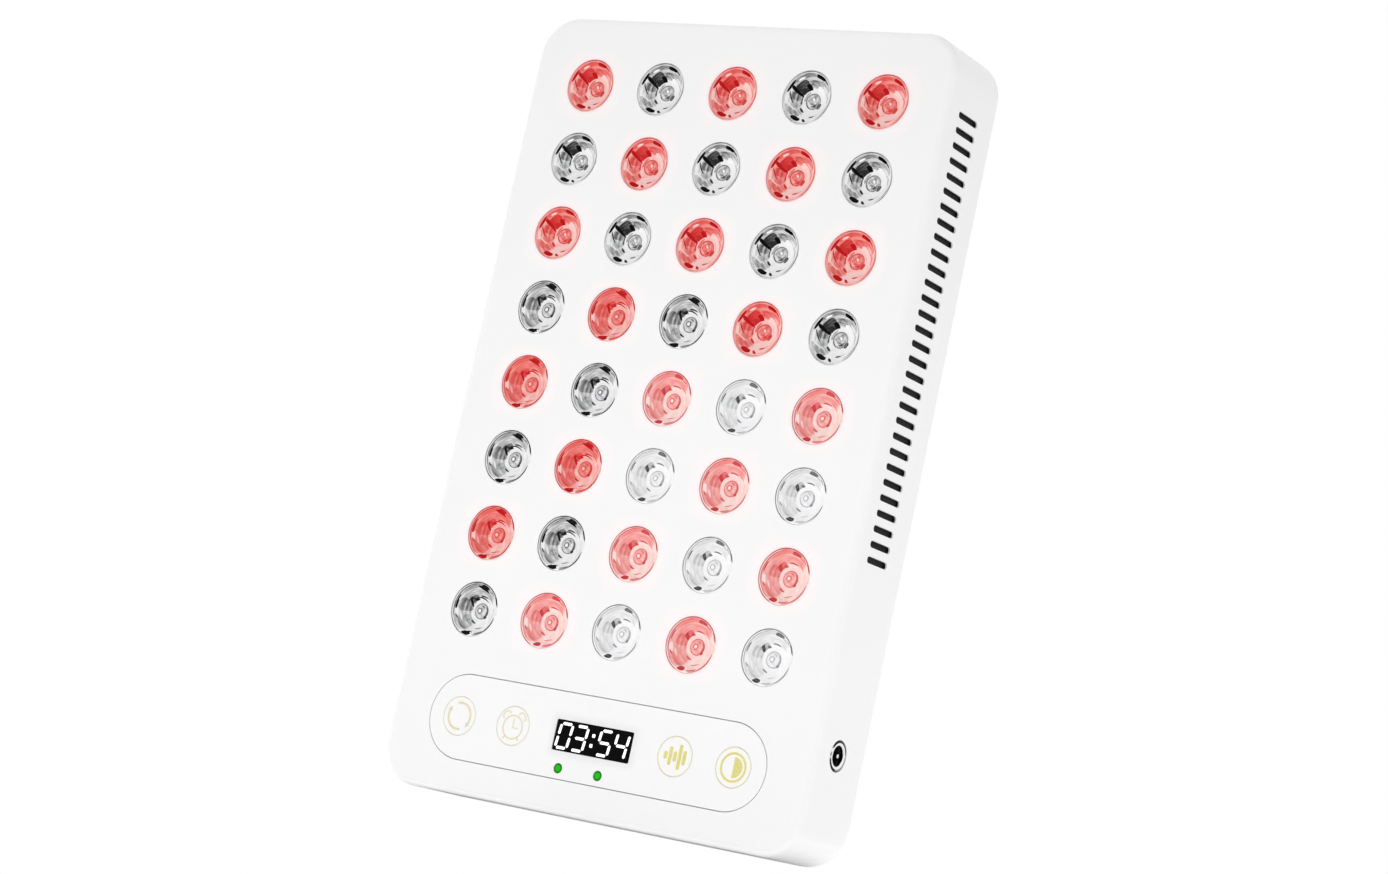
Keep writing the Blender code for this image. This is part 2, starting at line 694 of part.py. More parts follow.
def cover_openings():
    """Make the grille, the screw holes with their seats and the well of the stand."""
    bm = bmesh.new()
    through = COVER_THICKNESS + CUT_OVERRUN * 2
    middle = REAR - COVER_THICKNESS / 2
    for number in range(GRILLE_SLOTS):
        rise = (number - (GRILLE_SLOTS - 1) / 2) * GRILLE_PITCH
        half_chord = (GRILLE_RADIUS ** 2 - rise ** 2) ** 0.5
        place = Matrix.Translation((0, middle, FAN_HEIGHT + rise)) @ FACING_FRONT
        add_slot(bm, half_chord * 2, GRILLE_SLOT_WIDTH, through, place, VENT_STEPS)
    start = COVER_FRONT - CUT_OVERRUN
    seat = REAR - SCREW_HEAD_DEPTH
    end = REAR + CUT_OVERRUN
    for x, z in list(post_places()) + list(fan_screw_places()):
        add_cylinder(bm, SCREW_HOLE_RADIUS, (x, start, z), (x, seat - SCREW_HEAD_DEPTH / 2, z),
                     SCREW_STEPS)
        add_cylinder(bm, SCREW_HEAD_RADIUS, (x, seat, z), (x, end, z), SCREW_STEPS)
    return add_tool("cover_openings", bm)


def build_rear_cover():
    """Build the back plate with the grille and the moulded well that takes the stand."""
    inset = WALL + SEAT_GAP
    bm = bmesh.new()
    add_rounded_box(bm, (-SIDE + inset, COVER_FRONT, inset),
                    (SIDE - inset, REAR, PANEL_HEIGHT - inset), CORNER_RADIUS - inset, CORNER_STEPS)
    cover = add_piece("rear_cover", bm, WHITE_PLASTIC)
    bm = bmesh.new()
    reach = WELL_HALF_WIDTH + WELL_SIDE_WALL
    foot = WELL_FOOT - NOTCH_HEIGHT - WELL_FLOOR
    add_rounded_box(bm, (-reach, WELL_BOTTOM - WELL_FLOOR, foot),
                    (reach, REAR - COVER_THICKNESS / 2, WELL_TOP + WELL_FLOOR), WELL_CORNER,
                    WELL_CORNER_STEPS)
    join(cover, add_tool("well_shell", bm))
    bm = bmesh.new()
    add_box(bm, (-WELL_HALF_WIDTH, WELL_BOTTOM, WELL_FOOT),
            (WELL_HALF_WIDTH, REAR + CUT_OVERRUN, WELL_TOP))
    cut(cover, add_tool("well", bm))
    bm = bmesh.new()
    add_box(bm, (-NOTCH_WIDTH / 2, WELL_BOTTOM, WELL_FOOT - NOTCH_HEIGHT),
            (NOTCH_WIDTH / 2, REAR + CUT_OVERRUN, WELL_FOOT + CUT_OVERRUN))
    cut(cover, add_tool("finger_notch", bm))
    bm = bmesh.new()
    pin_end = WELL_HALF_WIDTH + STAND_PIN_REACH + SEAT_GAP
    add_cylinder(bm, STAND_PIN_RADIUS + SEAT_GAP, (-pin_end, STAND_AXIS_Y, STAND_HINGE_HEIGHT),
                 (pin_end, STAND_AXIS_Y, STAND_HINGE_HEIGHT), BARREL_STEPS)
    cut(cover, add_tool("pin_seats", bm))
    cut(cover, cover_openings())


def build_stand():
    """Build the folding leg, whose barrel turns on a steel pin across the well."""
    outer = STAND_OUTER - STAND_AXIS_Y
    inner = outer - STAND_THICKNESS
    half_width = STAND_WIDTH / 2
    place = Matrix.Translation((0, STAND_AXIS_Y, STAND_HINGE_HEIGHT))
    bm = bmesh.new()
    add_box(bm, (-half_width, inner, -STAND_LENGTH), (half_width, outer, 0))
    foot_edges = [edge for edge in bm.edges
                  if all(vert.co.z < -STAND_LENGTH / 2 for vert in edge.verts)
                  and abs(edge.verts[0].co.x - edge.verts[1].co.x) < WELD_DISTANCE]
    bmesh.ops.bevel(bm, geom=foot_edges, offset=STAND_CORNER, segments=STAND_CORNER_STEPS,
                    profile=ROUND_SHARE, affect="EDGES")
    round_rim(bm, outer, STAND_EDGE, INNER_EDGE_STEPS)
    stand = add_piece("kickstand", bm, WHITE_PLASTIC, place)
    bm = bmesh.new()
    add_cylinder(bm, STAND_BARREL_RADIUS, (-half_width, STAND_AXIS_Y, STAND_HINGE_HEIGHT),
                 (half_width, STAND_AXIS_Y, STAND_HINGE_HEIGHT), BARREL_STEPS)
    join(stand, add_tool("stand_barrel", bm))
    bm = bmesh.new()
    end = half_width + CUT_OVERRUN
    add_cylinder(bm, STAND_PIN_RADIUS + SEAT_GAP, (-end, STAND_AXIS_Y, STAND_HINGE_HEIGHT),
                 (end, STAND_AXIS_Y, STAND_HINGE_HEIGHT), BARREL_STEPS)
    cut(stand, add_tool("stand_bore", bm))
    bm = bmesh.new()
    end = WELL_HALF_WIDTH + STAND_PIN_REACH
    add_cylinder(bm, STAND_PIN_RADIUS, (-end, STAND_AXIS_Y, STAND_HINGE_HEIGHT),
                 (end, STAND_AXIS_Y, STAND_HINGE_HEIGHT), BARREL_STEPS)
    add_piece("stand_pin", bm, STEEL)


def build_fan_frame():
    """Build the square fan frame with its bore, cross struts, base and spindle."""
    reach = FAN_SIZE / 2
    bm = bmesh.new()
    add_rounded_box(bm, (-reach, FAN_FRONT, FAN_HEIGHT - reach),
                    (reach, FAN_BACK, FAN_HEIGHT + reach), FAN_CORNER, FAN_CORNER_STEPS)
    frame = add_piece("fan_frame", bm, BLACK_PLASTIC)
    bm = bmesh.new()
    start = FAN_FRONT - CUT_OVERRUN
    end = FAN_BACK + CUT_OVERRUN
    add_cylinder(bm, FAN_BORE_RADIUS, (0, start, FAN_HEIGHT), (0, end, FAN_HEIGHT), FAN_STEPS)
    for x, z in fan_screw_places():
        add_cylinder(bm, FAN_SCREW_RADIUS, (x, start, z), (x, end, z), BOSS_STEPS)
    cut(frame, add_tool("fan_openings", bm))
    base_back = FAN_FRONT + FAN_BASE_THICKNESS
    strut = FAN_STRUT_WIDTH / 2
    bore = FAN_BORE_RADIUS + FAN_BASE_THICKNESS
    bm = bmesh.new()
    add_box(bm, (-bore, FAN_FRONT, FAN_HEIGHT - strut), (bore, base_back, FAN_HEIGHT + strut))
    join(frame, add_tool("fan_level_strut", bm))
    bm = bmesh.new()
    add_box(bm, (-strut, FAN_FRONT, FAN_HEIGHT - bore), (strut, base_back, FAN_HEIGHT + bore))
    join(frame, add_tool("fan_upright_strut", bm))
    bm = bmesh.new()
    add_cylinder(bm, FAN_HUB_RADIUS, (0, FAN_FRONT, FAN_HEIGHT), (0, base_back, FAN_HEIGHT),
                 FAN_STEPS)
    join(frame, add_tool("fan_base", bm))
    bm = bmesh.new()
    tip = FAN_BACK - FAN_HUB_WALL - FAN_BASE_THICKNESS
    add_cylinder(bm, FAN_SPINDLE_RADIUS, (0, FAN_FRONT + FAN_BASE_THICKNESS / 2, FAN_HEIGHT),
                 (0, tip, FAN_HEIGHT), FAN_SPINDLE_STEPS)
    join(frame, add_tool("fan_spindle", bm))


def add_blade(bm, turn, low, high):
    """Loft one twisted blade between the hub and the tip, over the rotor's own height."""
    root = FAN_HUB_RADIUS - FAN_HUB_WALL / 2
    room = (high - low - BLADE_THICKNESS) * BLADE_DEPTH_SHARE
    loops = []
    for station in range(BLADE_STATIONS):
        share = station / (BLADE_STATIONS - 1)
        radius = root + (FAN_TIP_RADIUS - root) * share
        pitch = BLADE_ROOT_PITCH + (BLADE_TIP_PITCH - BLADE_ROOT_PITCH) * share
        chord = min(BLADE_CHORD, room / sin(pitch))
        upper = []
        lower = []
        for number in range(BLADE_POINTS):
            along_share = number / (BLADE_POINTS - 1) - 1 / 2
            camber = BLADE_CAMBER * (1 - (2 * along_share) ** 2)
            for side, row in ((1, upper), (-1, lower)):
                offset = camber - BLADE_CAMBER / 2 + side * BLADE_THICKNESS / 2
                around = along_share * chord * cos(pitch) - offset * sin(pitch)
                rise = along_share * chord * sin(pitch) + offset * cos(pitch)
                angle = turn + around / radius + BLADE_SWEEP * share
                height = (low + high) / 2 + rise
                row.append(bm.verts.new((radius * cos(angle), radius * sin(angle), height)))
        loops.append(upper + lower[::-1])
    for inner, outer in zip(loops, loops[1:]):
        for number in range(len(inner)):
            following = (number + 1) % len(inner)
            bm.faces.new((inner[number], inner[following], outer[following], outer[number]))
    bm.faces.new(loops[0][::-1])
    bm.faces.new(loops[-1])


def build_fan_rotor():
    """Build the rotor: a cup-shaped hub on the spindle, with twisted blades."""
    back = FAN_BACK - SEAT_GAP
    front = FAN_FRONT + FAN_BASE_THICKNESS + SEAT_GAP * 2
    height = back - front
    cup = FAN_HUB_RADIUS - FAN_HUB_WALL
    outline = [
        (0, height),
        (FAN_HUB_RADIUS - FAN_HUB_BEVEL, height),
        (FAN_HUB_RADIUS, height - FAN_HUB_BEVEL),
        (FAN_HUB_RADIUS, 0),
        (cup, 0),
        (cup, height - FAN_HUB_WALL),
        (0, height - FAN_HUB_WALL),
    ]
    facing_back = Matrix.Rotation(radians(-90), 4, "X")
    place = Matrix.Translation((0, front, FAN_HEIGHT)) @ facing_back
    rotor = add_turned("fan_rotor", outline, FAN_STEPS, BLACK_PLASTIC, place)
    bm = bmesh.new()
    for number in range(BLADES):
        add_blade(bm, 2 * pi * number / BLADES, SEAT_GAP, height - SEAT_GAP)
    bmesh.ops.recalc_face_normals(bm, faces=bm.faces)
    blades = add_tool("fan_blades", bm)
    blades.matrix_world = place
    join(rotor, blades)


clear_scene()
PIECES = new_collection("light_therapy_panel")
TOOLS = new_collection("cutters_and_guides")

WHITE_PLASTIC = make_material("white_plastic", (0.90, 0.90, 0.90), 0.35)
PANEL_WHITE = make_material("panel_white", (0.91, 0.91, 0.91), 0.30)
KEY_WHITE = make_material("key_white", (0.92, 0.92, 0.91), 0.30)
LIT_LENS = make_material("lit_lens", (0.90, 0.05, 0.10), 0.15, glow=2)
CLEAR_LENS = make_material("clear_lens", (0.85, 0.87, 0.89), 0.10, clear=0.5)
BLACK_WINDOW = make_material("black_window", (0.01, 0.01, 0.01), 0.15)
GREEN_LIGHT = make_material("green_light", (0.10, 0.75, 0.20), 0.25, glow=1)
CHROME = make_material("chrome", (0.75, 0.75, 0.76), 0.15, metallic=1)
STEEL = make_material("steel", (0.60, 0.60, 0.62), 0.30, metallic=1)
ALUMINIUM = make_material("aluminium", (0.72, 0.73, 0.74), 0.40, metallic=1)
BOARD_WHITE = make_material("board_white", (0.85, 0.86, 0.84), 0.45)
BOARD_GREEN = make_material("board_green", (0.05, 0.28, 0.12), 0.45)
BLACK_PLASTIC = make_material("black_plastic", (0.02, 0.02, 0.02), 0.45)

build_front_housing()
build_lenses()
build_led_board()
build_heat_sink()
build_control_panel()
build_keys()
build_display()
build_indicators()
build_control_board()
build_dc_jack()
build_rear_cover()
build_stand()
build_fan_frame()
build_fan_rotor()
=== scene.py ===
from math import cos, pi, radians, sin, sqrt, tan

import bmesh
import bpy
from mathutils import Matrix, Vector


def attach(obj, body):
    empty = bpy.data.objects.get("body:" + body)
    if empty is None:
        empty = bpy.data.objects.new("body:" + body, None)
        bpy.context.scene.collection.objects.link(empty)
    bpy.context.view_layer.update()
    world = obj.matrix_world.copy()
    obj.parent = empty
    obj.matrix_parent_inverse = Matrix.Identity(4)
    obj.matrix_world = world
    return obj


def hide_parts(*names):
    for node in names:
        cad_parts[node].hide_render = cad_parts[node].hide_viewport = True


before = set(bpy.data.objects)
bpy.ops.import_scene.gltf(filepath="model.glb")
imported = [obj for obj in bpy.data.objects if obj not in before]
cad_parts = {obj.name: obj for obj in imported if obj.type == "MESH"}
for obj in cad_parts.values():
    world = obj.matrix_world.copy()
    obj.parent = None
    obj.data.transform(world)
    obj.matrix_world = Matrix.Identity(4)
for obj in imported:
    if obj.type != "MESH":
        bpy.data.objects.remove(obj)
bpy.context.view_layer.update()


# Front housing: the white ABS tub that forms the face and the four sides, injection moulded in
# one shot. Lens holes, the seat of the control panel, vent slots and the socket hole come out of
# the mould with small radii. Posts on the inside of the face take the screws of the rear cover.
MM = 0.001
PANEL_WIDTH, PANEL_HEIGHT, FRONT, REAR, SIDE = 190, 310, -18, 18, 95
CORNER, CORNER_STEPS = 16, 14
WALL, FACE_ROUND, BACK_ROUND = 2, 3, 1.2
LENS_ROWS, LENS_COLUMNS, MIDDLE_COLUMN = 8, 5, 2
LENS_PITCH_X, LENS_PITCH_Z, LENS_TOP, LENS_HOLE = 33.4, 30.2, 282.2, 21.5
PILL_LENGTH, PILL_WIDTH, PILL_HEIGHT = 153.2, 33.3, 29.4
VENT_Y, VENT_TOP, VENT_PITCH, VENT_LENGTH, VENT_WIDTH, VENTS = -2.1, 281.6, 5.8207, 15, 2.5, 30
SOCKET_Y, SOCKET_HEIGHT, SOCKET_HOLE = -1.4, 41.1, 11.8
LENSES = [(row, column) for row in range(LENS_ROWS) for column in range(LENS_COLUMNS)]
THROUGH_WALL = 3
POSTS = [(x, z) for x in (-85.5, 85.5) for z in (9.5, 100, 300.5)]
POST, POST_END, POST_WALL, PILOT_END = 7.2, 33.7, 2.5, 4


def outline(width, height, radius, steps, grow=0):
    """Give a rectangle with round corners; sides of twice the radius give a circle."""
    points = []
    across, up = width / 2 - radius, height / 2 - radius
    corners = ((across, up), (-across, up), (-across, -up), (across, -up))
    for number, (x, z) in enumerate(corners):
        for step in range(steps + 1):
            angle = (number + step / steps) * pi / 2
            point = Vector((x + (radius + grow) * cos(angle), 0, z + (radius + grow) * sin(angle)))
            if not points or (point - points[-1]).length > 0.001:
                points.append(point)
    if (points[0] - points[-1]).length < 0.001:
        points.pop()
    return points


def curve(centre, middle, radius, start, end, steps):
    """Give points of an arc in the plane of a moulding's section."""
    angles = [radians(start + (end - start) * step / steps) for step in range(steps + 1)]
    return [(centre + radius * cos(angle), middle + radius * sin(angle)) for angle in angles]


def disc(width, steps):
    """Give the outline of a round hole or boss, with its steps in a quarter turn."""
    return width, width, width / 2, steps


def stitch(bm, rows, looped=False):
    """Join rows of points into a skin, closed at both ends unless it runs round in a loop."""
    for one, two in zip(rows, rows[1:] + rows[:1] if looped else rows[1:]):
        for number in range(len(one)):
            after = (number + 1) % len(one)
            bm.faces.new((one[number], one[after], two[after], two[number]))
    if not looped:
        bm.faces.new(rows[0])
        bm.faces.new(rows[-1])


def skin(bm, shape, section, place=Matrix.Identity(4), looped=False):
    """Draw a section of (growth, depth) points round an outline."""
    rows = []
    for grow, depth in section:
        points = [point + Vector((0, depth, 0)) for point in outline(*shape, grow)]
        rows.append([bm.verts.new(place @ point) for point in points])
    stitch(bm, rows, looped)


def on_face(x, z):
    """Place a shape on the face, with its depth into the panel."""
    return Matrix.Translation((x, FRONT, z))


def on_side(side, y, z):
    """Place a shape on the left side (-1) or the right side (1)."""
    return Matrix.Translation((side * SIDE, y, z)) @ Matrix.Rotation(side * pi / 2, 4, "Z")


def lens_centre(row, column):
    """Give the place on the face of one lens, counted from the upper left."""
    return (column - MIDDLE_COLUMN) * LENS_PITCH_X, LENS_TOP - row * LENS_PITCH_Z


def opening(bm, shape, depth, edge, place, steps=4):
    """Shape the steel that leaves an opening with a rounded edge in a moulded wall."""
    top = [(edge, -1), (edge, -0.002)]
    skin(bm, shape, top + curve(edge, edge, edge, 268, 180, steps) + [(0, depth)], place)


def to_mesh(name, bm):
    """Turn a body in millimetres into a mesh in metres, with its faces outward."""
    bmesh.ops.recalc_face_normals(bm, faces=bm.faces)
    bmesh.ops.scale(bm, vec=(MM, MM, MM), verts=bm.verts)
    mesh = bpy.data.meshes.new(name)
    bm.to_mesh(mesh)
    bm.free()
    return mesh


def add_object(name, mesh, finish, body, solids=()):
    """Put a mesh in the scene as a piece that rides on a body."""
    piece = bpy.data.objects.new(name, mesh)
    bpy.context.scene.collection.objects.link(piece)
    mesh.materials.clear()
    mesh.materials.append(finish)
    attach(piece, body)
    if solids:
        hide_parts(*solids)
    return piece


def add_piece(name, bm, finish, body, solids=(), joined=None, carved=None, crossing=False):
    """Make a piece of a body in millimetres, with others joined or cut; crossing if one cuts itself."""
    piece = add_object(name, to_mesh(name, bm), finish, body, solids)
    tools = []
    for tool, operation in ((joined, "UNION"), (carved, "DIFFERENCE")):
        if tool:
            tools.append(bpy.data.objects.new(name + "_tool", to_mesh(name + "_tool", tool)))
            bpy.context.scene.collection.objects.link(tools[-1])
            step = piece.modifiers.new(operation, "BOOLEAN")
            step.operation = operation
            step.solver = "EXACT"
            step.use_self = crossing
            step.object = tools[-1]
    if tools:
        shaped = piece.evaluated_get(bpy.context.evaluated_depsgraph_get())
        piece.data = bpy.data.meshes.new_from_object(shaped)
        piece.modifiers.clear()
        for tool in tools:
            bpy.data.objects.remove(tool)
    piece.data.shade_smooth()
    piece.data.set_sharp_from_angle(angle=radians(35))
    even = piece.modifiers.new("even_shading", "WEIGHTED_NORMAL")
    even.keep_sharp = True
    return piece


def wire(tree, kind, inputs=(), **settings):
    """Add a node, with numbers or other nodes' outputs on its inputs."""
    node = tree.nodes.new("ShaderNode" + kind)
    for key, value in settings.items():
        setattr(node, key, value)
    for key, value in dict(inputs).items():
        if isinstance(value, bpy.types.NodeSocket):
            tree.links.new(value, node.inputs[key])
        else:
            node.inputs[key].default_value = value
    return node


def work(tree, operation, one, two=0.0, three=0.0):
    """Add one step of arithmetic."""
    return wire(tree, "Math", {0: one, 1: two, 2: three}, operation=operation).outputs[0]


def spread(tree, value, low, high, start, end, smooth=False):
    """Carry a value from one range to another, held at both ends."""
    kind = "SMOOTHSTEP" if smooth else "LINEAR"
    return wire(tree, "MapRange", {0: value, 1: low, 2: high, 3: start, 4: end},
                interpolation_type=kind).outputs[0]


def tint(tree, share, one, two):
    """Mix two colours; a colour is a triple or another node's output."""
    ends = [end if isinstance(end, bpy.types.NodeSocket) else (*end, 1) for end in (one, two)]
    return wire(tree, "Mix", {0: share, 6: ends[0], 7: ends[1]}, data_type="RGBA").outputs[2]


def noise(tree, place, scale, detail, distortion=0.0):
    """Add an even mottle of the given fineness."""
    return wire(tree, "TexNoise", {"Vector": place, "Scale": scale, "Detail": detail,
                                   "Distortion": distortion}).outputs[0]


def in_mm(tree, place):
    """Split a place into x, y and z in millimetres."""
    part = wire(tree, "SeparateXYZ", {0: place}).outputs
    return [work(tree, "MULTIPLY", part[axis], 1 / MM) for axis in range(3)]


def distance(tree, one, two):
    """Give the distance that two offsets at right angles add up to."""
    squares = [work(tree, "MULTIPLY", offset, offset) for offset in (one, two)]
    return work(tree, "SQRT", work(tree, "ADD", *squares))


def feed(tree, node, **sockets):
    """Lead other nodes' outputs into a node's sockets."""
    for key, value in sockets.items():
        tree.links.new(value, node.inputs[key.replace("_", " ")])


def emboss(tree, shader, height, relief, strength):
    """Raise a finish by a pattern, as high as the relief in metres."""
    bump = wire(tree, "Bump", {"Height": height, "Distance": relief, "Strength": strength})
    feed(tree, shader, Normal=bump.outputs[0])


def new_finish(name, **sockets):
    """Start a finish with the values that are the same all over it, and the place on the piece."""
    finish = bpy.data.materials.new(name)
    finish.use_nodes = True
    shader = finish.node_tree.nodes["Principled BSDF"]
    for key, value in sockets.items():
        shader.inputs[key.replace("_", " ")].default_value = value
    place = wire(finish.node_tree, "TexCoord").outputs["Object"]
    return finish, finish.node_tree, shader, place


def moulded(name, light, dark, rough, grain, relief, **sockets):
    """Make moulded plastic: eroded grain, faint flow marks, and gloss that wanders a little."""
    finish, tree, shader, place = new_finish(name, **sockets)
    fine = noise(tree, place, grain, 2)
    slow = noise(tree, place, 22, 3)
    flow = noise(tree, place, 60, 5, 1.5)
    shade = tint(tree, spread(tree, slow, 0.3, 0.7, 0, 1), light, dark)
    gloss = spread(tree, work(tree, "ADD", fine, flow), 0.7, 1.3, rough - 0.05, rough + 0.06)
    feed(tree, shader, Base_Color=shade, Roughness=gloss)
    emboss(tree, shader, fine, relief, 0.35)
    return finish, tree, shader, place, shade


# The red light falls on the face: a wide glow round each lit lens, and a deeper rim close to it.
# The product of two cosines is high at every lit lens of the grid and low at every clear one.
GLOW_START, GLOW_END, GLOW_LOW, GLOW_HIGH, RIM_WIDTH = 15, 18, -0.04, 0.36, 1.6
white_shell, tree, shader, place, shade = moulded(
    "white_shell", (0.93, 0.93, 0.93), (0.915, 0.915, 0.917), 0.42, 2400, 0.00003)
x, y, z = in_mm(tree, place)
below = work(tree, "SUBTRACT", LENS_TOP, z)
column = work(tree, "ADD", work(tree, "DIVIDE", x, LENS_PITCH_X), MIDDLE_COLUMN + 0.5)
column = work(tree, "MAXIMUM", work(tree, "FLOOR", column), 0)
column = work(tree, "MINIMUM", column, LENS_COLUMNS - 1)
row = work(tree, "ADD", work(tree, "DIVIDE", below, LENS_PITCH_Z), 0.5)
row = work(tree, "MAXIMUM", work(tree, "FLOOR", row), 0)
row = work(tree, "MINIMUM", row, LENS_ROWS - 1)
lens_x = work(tree, "MULTIPLY", work(tree, "SUBTRACT", column, MIDDLE_COLUMN), LENS_PITCH_X)
lens_below = work(tree, "MULTIPLY", row, LENS_PITCH_Z)
away = distance(tree, work(tree, "SUBTRACT", x, lens_x), work(tree, "SUBTRACT", below, lens_below))
lit = work(tree, "SUBTRACT", 1, work(tree, "MODULO", work(tree, "ADD", row, column), 2))
rim = spread(tree, away, LENS_HOLE / 2, LENS_HOLE / 2 + RIM_WIDTH, 0.3, 0, True)
beat_x = work(tree, "COSINE", work(tree, "MULTIPLY", x, pi / LENS_PITCH_X))
beat_z = work(tree, "COSINE", work(tree, "MULTIPLY", below, pi / LENS_PITCH_Z))
glow = spread(tree, work(tree, "MULTIPLY", beat_x, beat_z), GLOW_LOW, GLOW_HIGH, 0, 1, True)
field = spread(tree, away, GLOW_START, GLOW_END, 1, 0, True)
face = spread(tree, y, FRONT + 1, FRONT + 1.5, 1, 0)
for share, mask, colour in ((glow, field, (0.975, 0.925, 0.928)), (rim, lit, (0.95, 0.72, 0.75))):
    share = work(tree, "MULTIPLY", work(tree, "MULTIPLY", share, mask), face)
    shade = tint(tree, share, shade, colour)
feed(tree, shader, Base_Color=shade)

tub = bmesh.new()
section = (curve(FACE_ROUND, FRONT + FACE_ROUND, FACE_ROUND, 270, 180, 8)
           + curve(BACK_ROUND, REAR - BACK_ROUND, BACK_ROUND, 180, 90, 4) + [(WALL, REAR)]
           + curve(FACE_ROUND, FRONT + FACE_ROUND, FACE_ROUND - WALL, 180, 270, 3))
skin(tub, (PANEL_WIDTH, PANEL_HEIGHT, CORNER, CORNER_STEPS), [(-inset, y) for inset, y in section],
     Matrix.Translation((0, 0, PANEL_HEIGHT / 2)))
posts = bmesh.new()
for x, z in POSTS:
    skin(posts, disc(POST, 8), [(0, 1), (0, POST_END), (-POST_WALL, POST_END), (-POST_WALL, PILOT_END)],
         on_face(x, z))
steel = bmesh.new()
for row, column in LENSES:
    opening(steel, disc(LENS_HOLE, 20), THROUGH_WALL, 0.3, on_face(*lens_centre(row, column)))
opening(steel, (PILL_LENGTH, PILL_WIDTH, PILL_WIDTH / 2, 24), THROUGH_WALL, 0.2,
        on_face(0, PILL_HEIGHT))
for side in (-1, 1):
    for number in range(VENTS):
        opening(steel, (VENT_LENGTH, VENT_WIDTH, VENT_WIDTH / 2 - 0.01, 6), THROUGH_WALL, 0.2,
                on_side(side, VENT_Y, VENT_TOP - number * VENT_PITCH), 2)
opening(steel, disc(SOCKET_HOLE, 12), THROUGH_WALL, 0.25, on_side(1, SOCKET_Y, SOCKET_HEIGHT))
add_piece("housing_shell", tub, white_shell, "housing", ["front_housing"],
          joined=posts, carved=steel)


# Vent liners: two black nylon frames snapped behind the side slots. Each slot is lined with a
# short sleeve, and a fine dust net is moulded in across it. Their black is partly painted shade,
# standing in for the dark deep inside the slots.
LINER_WIDTH, LINER_HEIGHT, LINER_FRONT, LINER_REAR = 19, 181, 2.3, 2.8
SLEEVE_PLAY, SLEEVE_WALL, SLEEVE_FRONT, SLEEVE_REAR = 0.1, 0.3, 0.6, 2.5
vent_black_and_shade, tree, shader, place, _ = moulded(
    "vent_black_and_shade", (0.010, 0.010, 0.011), (0.006, 0.006, 0.006), 0.6, 1800, 0.00004,
    Specular_IOR_Level=0.2)
threads = [wire(tree, "TexWave", {"Vector": place, "Scale": 900, "Distortion": 0.2},
                bands_direction=way).outputs[1] for way in "ZY"]
emboss(tree, shader, work(tree, "MAXIMUM", *threads), 0.00008, 0.6)
for side, name in ((-1, "vent_liner_left"), (1, "vent_liner_right")):
    liner = bmesh.new()
    middle = VENT_TOP - VENT_PITCH * (VENTS - 1) / 2
    skin(liner, (LINER_WIDTH, LINER_HEIGHT, 2, 4), [(0, LINER_FRONT), (0, LINER_REAR)],
         on_side(side, VENT_Y, middle))
    for number in range(VENTS):
        skin(liner, (VENT_LENGTH - SLEEVE_PLAY, VENT_WIDTH - SLEEVE_PLAY, VENT_WIDTH / 2 - 0.06, 6),
             [(0, SLEEVE_REAR), (0, SLEEVE_FRONT), (-SLEEVE_WALL, SLEEVE_FRONT),
              (-SLEEVE_WALL, 1.3)],
             on_side(side, VENT_Y, VENT_TOP - number * VENT_PITCH))
    add_piece(name, liner, vent_black_and_shade, "housing")


# Lenses: forty clear acrylic collimators, moulded with a rim, a bowl, a step and a small dome,
# polished, and snapped into the face from behind. Every second one is lit deep red. Painted into
# all is a reflection of the dark and pale inside of the box, in slivers of shade and highlight,
# and it fades towards the lower right by painted light.
LENS_DISC, LENS_LIP, LENS_LIP_FRONT, LENS_CONE, LENS_DEPTH = 10.64, 11.85, 2.3, 4.5, 12.0
BOWL_RIM, BOWL_FOOT, BOWL_TOP, BOWL_FLOOR = 9.5, 4.4, 1.0, 4.9


def turned(bm, profile, steps, place=Matrix.Identity(4), looped=False):
    """Turn a body from a profile of (radius, depth) points."""
    skin(bm, disc(2, steps), [(radius - 1, depth) for radius, depth in profile], place, looped)


def lens_body():
    """Turn a lens from its profile: dome, step, bowl, rim, and the cone behind the face."""
    bm = bmesh.new()
    bowl = []
    for step in range(11):
        radius = BOWL_FOOT + (BOWL_RIM - BOWL_FOOT) * step / 10
        share = (radius ** 2 - BOWL_FOOT ** 2) / (BOWL_RIM ** 2 - BOWL_FOOT ** 2)
        bowl.append((radius, BOWL_FLOOR - (BOWL_FLOOR - BOWL_TOP) * share))
    dome = [(2.9 * sin(radians(angle)), 5.5 - 1.6 * cos(radians(angle))) for angle in range(6, 91, 12)]
    ledge = [(3.0, 5.62), (3.12, 5.35), (3.35, 5.14), (3.75, 5.06), (4.15, 5.02)]
    rim = [(9.62, 0.8), (9.72, 0.72), (9.84, 0.74), (9.92, 0.5)] + curve(10.25, 0.42, 0.32, 180, 290, 6)
    behind = [(LENS_DISC, 0.45), (LENS_DISC, LENS_LIP_FRONT), (LENS_LIP, LENS_LIP_FRONT),
              (LENS_CONE, LENS_DEPTH)]
    turned(bm, dome + ledge + bowl + rim + behind, 16)
    mesh = to_mesh("lens_body", bm)
    mesh.shade_smooth()
    mesh.set_sharp_from_angle(angle=radians(40))
    return mesh


